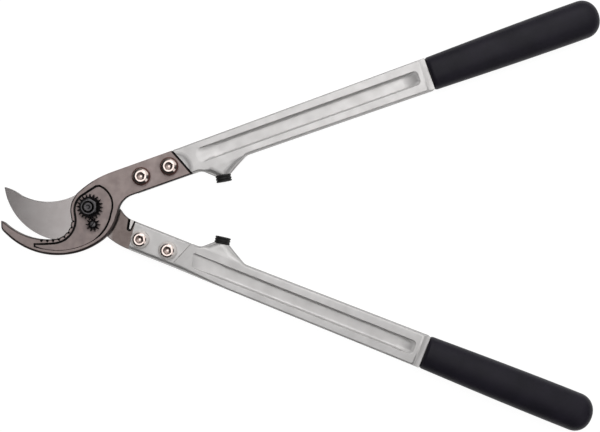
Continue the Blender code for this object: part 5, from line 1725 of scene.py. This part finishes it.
@dataclass
class Pivot:
    """Pivot bolt, toothed adjusting nut, and the lock wheel with its slotted screw."""

    arm: Arm
    bolt_radius: float = 5 * MM
    bush_wall: float = 1.7 * MM
    head_flats: float = 17 * MM
    head_height: float = 6.4 * MM
    head_chamfer: float = 0.8 * MM
    head_crown: float = 0.8
    tip_chamfer: float = 1.1 * MM
    tip_round: float = 0.2 * MM
    tip_run: float = 0.3 * MM
    dish_radius: float = 2.2 * MM
    dish_depth: float = 0.35 * MM
    dish_middle: float = 0.4 * MM
    module: float = 1.125 * MM
    nut_teeth: int = 20
    wheel_teeth: int = 10
    tip_width: float = 0.55 * MM
    nut_root_width: float = 1.9 * MM
    wheel_root_width: float = 1.6 * MM
    tip_clearance: float = 0.3 * MM
    tooth_break: float = 0.18 * MM
    wheel_direction: float = -99.2
    mesh_shift: float = 3.0
    nut_flats: float = 15 * MM
    nut_chamfer: float = 0.9 * MM
    nut_crown: float = 0.9
    nut_crown_level: float = 0.6
    nut_sink: Points = ((0.0, -0.4 * MM), (0.5 * MM, 0.1 * MM))
    hexagon_turn: float = -19.6
    screw_radius: float = 2 * MM
    screw_head_radius: float = 3.3 * MM
    screw_head_height: float = 1.5 * MM
    screw_middle: float = 0.5 * MM
    screw_crown: Points = ((0.55, 0.0), (1.0, -0.15 * MM), (1.0, -0.8 * MM))
    slot_width: float = 1 * MM
    slot_depth: float = 0.8 * MM
    slot_turn: float = 35.0

    @property
    def bore(self) -> float:
        """Radius of the bore through hook and blade, around the bush."""
        return self.bolt_radius + 2 * CLEARANCE + self.bush_wall

    @property
    def wheel_place(self) -> Point:
        """Centre of the lock wheel in the hook's arm."""
        distance = self.module * (self.nut_teeth + self.wheel_teeth) / 2
        return on_circle((0.0, 0.0), distance, self.wheel_direction)

    def gear(self, name: str, teeth: int, root_width: float, levels: Point) -> Mesh:
        """Flat wheel with straight-sided teeth, the first towards +X.

        Args:
            name: Name of the mesh.
            teeth: Number of teeth.
            root_width: Width of a tooth at its root.
            levels: Heights of the lower and the upper face.

        Returns:
            The wheel, with the edges of its teeth broken.
        """
        tip = self.module * (teeth / 2 + 1)
        root = self.module * (teeth / 2 - 1) - self.tip_clearance
        tip_half, root_half = math.asin(self.tip_width / 2 / tip), math.asin(root_width / 2 / root)
        tooth = ((root, -root_half), (tip, -tip_half), (tip, tip_half), (root, root_half),
                 (root, math.pi / teeth))
        plan: Outline = []
        for middle in (2 * math.pi * number / teeth for number in range(teeth)):
            plan += [(radius * math.cos(middle + turn), radius * math.sin(middle + turn))
                     for radius, turn in tooth]
        rims = [self.tooth_break] * len(plan)
        return rimmed_plate(name, plan, *levels, rims, rims, Rim.CHAMFER)

    def make_nut(self) -> None:
        """Toothed flange and hexagon in one piece, bored for the bolt."""
        low, top = self.arm.levels("adjusting_nut")
        gear_top = self.arm.levels("lock_wheel")[1]
        turn = self.wheel_direction - self.mesh_shift + 360 / self.nut_teeth / 2
        flange = self.gear("toothed_nut", self.nut_teeth, self.nut_root_width, (low, gear_top))
        flange.transform(about_z(turn))
        corner, flat = self.nut_flats / math.sqrt(3), self.nut_flats / 2
        drop = (corner - flat) * self.nut_crown
        crown = bend((corner, top - drop), (flat + CROWN_REACH, top - drop / 4),
                     (flat - self.nut_chamfer, top))
        hexagon = mesh_of_rows("hexagon", hexagon_rings(self.nut_flats, [(corner, low + CLEARANCE)] + crown))
        # Upward faces of the hexagon's crown take the painted highlight.
        surfaced(hexagon, OXIDE_FINISHES, BLACK_OXIDE, OXIDE_PAINTED_HIGHLIGHT, self.nut_crown_level)
        hexagon.transform(about_z(self.hexagon_turn))
        bore = self.bolt_radius + CLEARANCE
        mouth = [(bore + wide, top + rise) for wide, rise in self.nut_sink]
        sink = turned("bore", [(bore, low - BEYOND)] + mouth)
        mesh = carve(carve(flange, [hexagon], Job.JOIN), [sink])
        add_piece("toothed_nut", mesh, OXIDE_FINISHES, "adjusting_nut", self.arm.place, "adjusting_nut")

    def make_wheel(self) -> None:
        """Ten-tooth wheel in mesh with the nut."""
        low, top = self.arm.levels("lock_wheel")
        blank = self.gear("lock_pinion", self.wheel_teeth, self.wheel_root_width, (low, top))
        hole = drill(self.screw_radius + CLEARANCE, low - BEYOND, top + BEYOND, HOLE_STEPS)
        turn = about_z(self.wheel_direction + 180 + 2 * self.mesh_shift)
        place = self.arm.place @ at(self.wheel_place) @ turn
        add_piece("lock_pinion", carve(blank, [hole]), (BLACK_OXIDE,), "lock_wheel", place, "lock_wheel")

    def make_screw(self) -> None:
        """Slotted screw with a slightly domed cheese head."""
        low, top = self.arm.levels("lock_wheel_screw")
        seat, head, shank = top - self.screw_head_height, self.screw_head_radius, self.screw_radius
        crown = bend(*((head * share, top + drop) for share, drop in self.screw_crown))
        profile = [(self.screw_middle, top)] + crown + [(head, seat), (shank, seat), (shank, low)]
        half, reach, floor, above = self.slot_width / 2, 2 * head, top - self.slot_depth, top + BEYOND
        section = [(-reach, y, z) for y, z in ((-half, floor), (half, floor), (half, above), (-half, above))]
        slot = moved(prism("slot", section, (2 * reach, 0.0, 0.0)), about_z(self.slot_turn))
        # The head's top takes the painted highlight.
        blank = surfaced(turned("slotted_screw", profile), OXIDE_FINISHES, BLACK_OXIDE, OXIDE_PAINTED_HIGHLIGHT, NEAR_FLAT)
        mesh, place = carve(blank, [slot]), self.arm.place @ at(self.wheel_place)
        add_piece("slotted_screw", mesh, OXIDE_FINISHES, self.arm.body, place, "lock_wheel_screw")

    def make_bolt(self) -> None:
        """Hexagon-headed bolt whose turned end stands out of the nut."""
        low, tip = self.arm.levels("pivot_bolt")
        shoulder = low + self.head_height
        flat, corner = self.head_flats / 2, self.head_flats / math.sqrt(3)
        drop = (corner - flat) * self.head_crown
        crown = bend((flat - self.head_chamfer, low), (flat + CROWN_REACH, low + drop / 4),
                     (corner, low + drop))
        head = mesh_of_rows("pivot_bolt_head", hexagon_rings(self.head_flats, crown + [(corner, shoulder)]))
        radius, run, soft = self.bolt_radius, self.tip_run, self.tip_round
        inner, under = radius - self.tip_chamfer, tip - self.tip_chamfer
        dish = s_curve((self.dish_radius, tip), (self.dish_radius - MM, tip - self.dish_depth), 5)
        end = [(self.dish_middle, tip - self.dish_depth)] + dish[::-1]
        end += bend((inner - run, tip), (inner, tip), (inner + soft, tip - soft), 3)
        end += bend((radius - soft, under + soft), (radius, under), (radius, under - run), 3)
        # The bolt's end takes the painted highlight on its level faces.
        shank = surfaced(turned("shank", end + [(radius, shoulder - MM)]), OXIDE_FINISHES, BLACK_OXIDE,
                         OXIDE_PAINTED_HIGHLIGHT, NEAR_FLAT)
        mesh = carve(head, [shank], Job.JOIN)
        add_piece("pivot_bolt_blackened", mesh, OXIDE_FINISHES, self.arm.body, self.arm.place, "pivot_bolt")

    def build(self) -> None:
        """Make the four pieces."""
        self.make_bolt()
        self.make_nut()
        self.make_wheel()
        self.make_screw()


@dataclass
class TangBolts:
    """Flanged button-head bolts through the tangs, with their washers and nuts behind."""

    tang: Tang
    shank_radius: float = 4 * MM
    flange_radius: float = 8.6 * MM
    edge_round: float = 0.3 * MM
    edge_break: float = 0.1 * MM
    dome_slopes: Point = (25.0, 44.0)
    dome_power: float = 0.8
    dome_steps: int = 14
    face_radius: float = 5.2 * MM
    face_rim: float = 0.3 * MM
    face_middle: float = 0.5 * MM
    head_height: float = 5.3 * MM
    socket_flats: float = 6.2 * MM
    socket_depth: float = 2.8 * MM
    socket_cone: Point = (0.32, 1.2 * MM)
    socket_lip: float = 0.4 * MM
    socket_flare: Point = (1.08, 0.05 * MM)
    flare_round: float = 1.5
    washer_radius: float = 8 * MM
    washer_edge: float = 0.25 * MM
    nut_flats: float = 13 * MM
    nut_chamfer: float = 0.5 * MM
    nut_crown: Point = (0.1 * MM, 0.7 * MM)
    nut_sink: Point = (0.4 * MM, 0.1 * MM)
    skirts: dict[Side, tuple[Finish, float]] = field(default_factory=lambda: {
        Side.UPPER: (SKIRT_PAINTED_DARK_REFLECTION, 7.3 * MM), Side.LOWER: (SKIRT_PAINTED_PALE_REFLECTION, 6.5 * MM)})

    def head_profile(self) -> Outline:
        """Outside of the head over its seat, from the rim of the socket to the flange's edge."""
        radius, height, edge, soft = self.face_radius, self.head_height, self.flange_radius, self.edge_round
        points = [(self.face_middle, height), (radius - self.face_rim, height), (radius, height)]
        first, last = self.dome_slopes
        stride = (edge - soft - radius) / self.dome_steps
        for k in range(self.dome_steps):
            slope = first + (last - first) * ((k + 0.5) / self.dome_steps) ** self.dome_power
            radius += stride
            height -= stride * math.tan(math.radians(slope))
            points.append((radius, height))
        points += bend((radius, height), (edge, height - soft), (edge, height - 2 * soft))[1:]
        return points + [(edge, self.edge_break), (edge - self.edge_break, 0.0), (self.shank_radius, 0.0)]

    def socket(self) -> Mesh:
        """Cutter for the hexagon socket, with a drilled cone below it and a round flare at its mouth."""
        corner, mouth = self.socket_flats / math.sqrt(3), self.head_height
        floor = mouth - self.socket_depth
        (tip, depth), (flare, rise) = self.socket_cone, self.socket_flare
        stops = [(tip * corner, floor - depth), (corner, floor), (corner, mouth - self.socket_lip),
                 (flare * corner, mouth + rise)]
        rings = []
        for radius, height in stops:
            flats = self.socket_flats * (self.flare_round if height > mouth else radius / corner)
            rings += hexagon_rings(flats, [(radius, height)])
        return mesh_of_rows("socket", rings)

    def bolt(self, side: Side, low: float) -> tuple[Mesh, tuple[Finish, ...]]:
        """Bolt with its hexagon socket, and its finishes.

        Args:
            side: Arm that it is in.
            low: Height of its end from the head's seat.

        Returns:
            The bolt, standing on its seat, and the finishes.
        """
        skirt, skirt_from = self.skirts[side]
        finishes = (NICKEL_PLATE, SOCKET_PAINTED_SHADE, skirt)
        blank = turned("button_head_bolt", self.head_profile() + [(self.shank_radius, low)])
        # The outer ring of the head takes the painted reflection of its surroundings.
        for face in blank.polygons:
            if math.hypot(face.center.x, face.center.y) > skirt_from and face.center.z > 0:
                face.material_index = finishes.index(skirt)
        # The socket's walls take painted shade; its flats keep the plate.
        socket = surfaced(self.socket(), finishes, SOCKET_PAINTED_SHADE, NICKEL_PLATE)
        return carve(blank, [socket]), finishes

    def washer(self, low: float, top: float) -> Mesh:
        """Flat washer with rounded edges."""
        outer, inner, edge = self.washer_radius, self.tang.hole_radius, self.washer_edge
        profile = bend((outer - edge, top), (outer, top), (outer, top - edge), 3)
        profile += bend((outer, low + edge), (outer, low), (outer - edge, low), 3)
        return turned("flat_washer", profile + [(inner, low), (inner, top)], bored=True)

    def nut(self, low: float, top: float) -> Mesh:
        """Hexagon nut with both faces chamfered."""
        corner, flat, hole = self.nut_flats / math.sqrt(3), self.nut_flats / 2, self.tang.hole_radius
        crown = bend((flat - self.nut_chamfer, low), (flat + CROWN_REACH, low + self.nut_crown[0]),
                     (corner, low + self.nut_crown[1]))
        crown += [(radius, top + low - height) for radius, height in reversed(crown)]
        wide, under = self.nut_sink
        bore = turned("bore", [(hole + wide, low - under), (hole, low + wide), (hole, top + BEYOND)])
        return carve(mesh_of_rows("hexagon_nut", hexagon_rings(self.nut_flats, crown)), [bore])

    def build(self, arms: Mapping[Side, Arm]) -> None:
        """Make all four sets, each of a bolt, a washer and a nut."""
        for side, arm in arms.items():
            for word, point in self.tang.bolt_places(side):
                name = f"{side.word}_{word}"
                bolt, washer, nut = (f"{side.word}_{kind}_{word}" for kind in ("bolt", "washer", "nut"))
                end, top = arm.levels(bolt)
                seat = top - self.head_height
                seated, place = (arm.place @ at(point, level) for level in (seat, 0.0))
                add_piece(f"{name}_button_bolt", *self.bolt(side, end - seat), arm.body, seated, bolt)
                for title, mesh, node in (("flat_washer", self.washer(*arm.levels(washer)), washer),
                                          ("hexagon_nut", self.nut(*arm.levels(nut)), nut)):
                    add_piece(f"{name}_{title}", mesh, (NICKEL_PLATE,), arm.body, place, node)


@dataclass
class HiddenRings:
    """The bush and the pivot washer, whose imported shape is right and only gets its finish."""

    finishes: dict[str, Finish] = field(default_factory=lambda: {"pivot_bush": SINTERED_BRONZE,
                                                                 "pivot_washer": NICKEL_PLATE})

    def build(self) -> None:
        """Dress both rings."""
        for node, finish in self.finishes.items():
            solid = frame["nodes"][node]
            solid.data.materials.clear()
            solid.data.materials.append(finish.material())
            log.info("%s: %s on the packed solid", node, finish.title)


@dataclass(frozen=True)
class SoftBox:
    """Rectangular lamp over the table that looks down at the tool."""

    name: str
    place: Point3
    size: Point
    power: float
    level: bool = False


@dataclass
class Studio:
    """White table, soft boxes overhead on the side of the hook's handle, and the camera straight above."""

    arm: Arm
    aim: Point = (0.1982, -0.0050)
    height: float = 0.850
    field_width: float = 0.570
    roll: float = 1.015
    sensor: float = 36.0
    sight: Point = (0.01, 100.0)
    floor_half: float = 30.0
    floor_glow: float = 0.93
    floor_tone: float = 0.20
    card: str = "#f4f4f4"
    sky_axis: Point3 = (0.25, 0.70, 0.67)
    sky_top: float = 0.26
    sky_rim: float = 0.03
    sky_from: float = 0.35
    boxes: tuple[SoftBox, ...] = (
        SoftBox("ceiling_box", (0.34, 0.77, 1.50), (1.64, 2.4), 17.0, level=True),
        SoftBox("key_box", (1.15, 1.45, 1.20), (2.8, 1.0), 6.5),
        SoftBox("side_box", (1.05, -0.70, 0.80), (0.60, 0.50), 0.9),
    )

    def make_camera(self) -> None:
        """Camera that looks straight down and sees the photographed width at the sliding plane."""
        data = bpy.data.cameras.new("camera")
        data.sensor_width = self.sensor
        data.lens = self.sensor * self.height / self.field_width
        data.clip_start, data.clip_end = self.sight
        camera = put("camera", data)
        camera.location = (*self.aim, self.arm.plane + self.height)
        camera.rotation_euler = (0.0, 0.0, math.radians(self.roll))
        bpy.context.scene.camera = camera

    def make_table(self) -> None:
        """Table top that shows white to the camera and to reflections, and keeps the tool's soft shadow."""
        made = bpy.data.materials.new("table_white_card")
        made.use_nodes = True
        tree = made.node_tree
        tree.nodes.clear()
        path = add_node(tree, "LightPath")
        seen = path.outputs["Is Camera Ray"]
        for kind in ("Is Glossy Ray", "Is Transmission Ray"):
            seen = add_node(tree, "Math", {0: seen, 1: path.outputs[kind]}, operation="MAXIMUM").outputs[0]
        card = add_node(tree, "BsdfDiffuse", {"Color": linear(self.card)})
        grey = add_node(tree, "BsdfDiffuse", {"Color": (*[self.floor_tone] * 3, 1.0)})
        glow = add_node(tree, "Emission", {"Color": linear("#ffffff"), "Strength": self.floor_glow})
        white = add_node(tree, "AddShader", {0: grey.outputs[0], 1: glow.outputs[0]})
        mixed = add_node(tree, "MixShader", {0: seen, 1: card.outputs[0], 2: white.outputs[0]})
        add_node(tree, "OutputMaterial", {"Surface": mixed.outputs[0]})
        half = self.floor_half
        corners = ((-half, -half), (half, -half), (half, half), (-half, half))
        mesh = bpy.data.meshes.new("table")
        mesh.from_pydata(at_height(corners, -PAST), [], [(0, 1, 2, 3)])
        mesh.materials.append(made)
        put("table", mesh)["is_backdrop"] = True

    def make_sky(self) -> None:
        """Surroundings of a small studio: a bright ceiling that falls off to grey walls."""
        world = bpy.data.worlds.new("studio")
        world.use_nodes = True
        bpy.context.scene.world = world
        tree = world.node_tree
        tree.nodes.clear()
        way = add_node(tree, "TexCoord").outputs["Generated"]
        towards = add_node(tree, "VectorMath", {0: way, 1: Vector(self.sky_axis).normalized()},
                           operation="DOT_PRODUCT")
        lifted = add_node(tree, "MapRange", {"Value": towards.outputs["Value"], "From Min": self.sky_from,
                                             "From Max": 1.0, "To Min": self.sky_rim, "To Max": self.sky_top},
                          interpolation_type="SMOOTHSTEP")
        sky = add_node(tree, "Background", {"Color": linear("#ffffff"), "Strength": lifted.outputs["Result"]})
        add_node(tree, "OutputWorld", {"Surface": sky.outputs[0]})

    def make_box(self, box: SoftBox) -> None:
        """Hang one soft box, level or turned towards the tool."""
        data = bpy.data.lights.new(box.name, "AREA")
        data.shape = "RECTANGLE"
        data.size, data.size_y = box.size
        data.energy = box.power
        lamp = put(box.name, data)
        lamp.location = box.place
        if not box.level:
            aim = Vector((*self.aim, self.arm.plane)) - Vector(box.place)
            lamp.rotation_euler = aim.to_track_quat("-Z", "Y").to_euler()

    def build(self) -> None:
        """Set up the studio."""
        bpy.context.scene.view_settings.view_transform = "Standard"
        self.make_camera()
        self.make_table()
        self.make_sky()
        for box in self.boxes:
            self.make_box(box)
        log.info("studio: camera %.0f mm over the sliding plane", self.height / MM)


def note_sizes() -> None:
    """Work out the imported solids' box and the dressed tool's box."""
    boxes = {"cad": CAD_BOX, "visual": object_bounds()}
    {name: [list(corner) for corner in box] for name, box in boxes.items()}


def main() -> None:
    """Build the lopper's sub-assemblies, then the studio around them."""
    logging.basicConfig(level=logging.INFO, format="%(name)s %(message)s")
    arms = read_arms()
    upper, lower = arms[Side.UPPER], arms[Side.LOWER]
    tang, pivot, buffer = Tang(), Pivot(upper), Buffer()
    Studio(upper).build()
    Hook(upper, tang).build(pivot.bore, pivot.wheel_place, pivot.screw_radius + CLEARANCE)
    Blade(lower, tang).build(pivot.bore)
    handle = Handle(tang, buffer.seat, buffer.stem_hole)
    handle.build(arms)
    Grip(handle).build(arms)
    buffer.build(arms)
    pivot.build()
    TangBolts(tang).build(arms)
    HiddenRings().build()
    note_sizes()


if __name__ == "__main__":
    main()
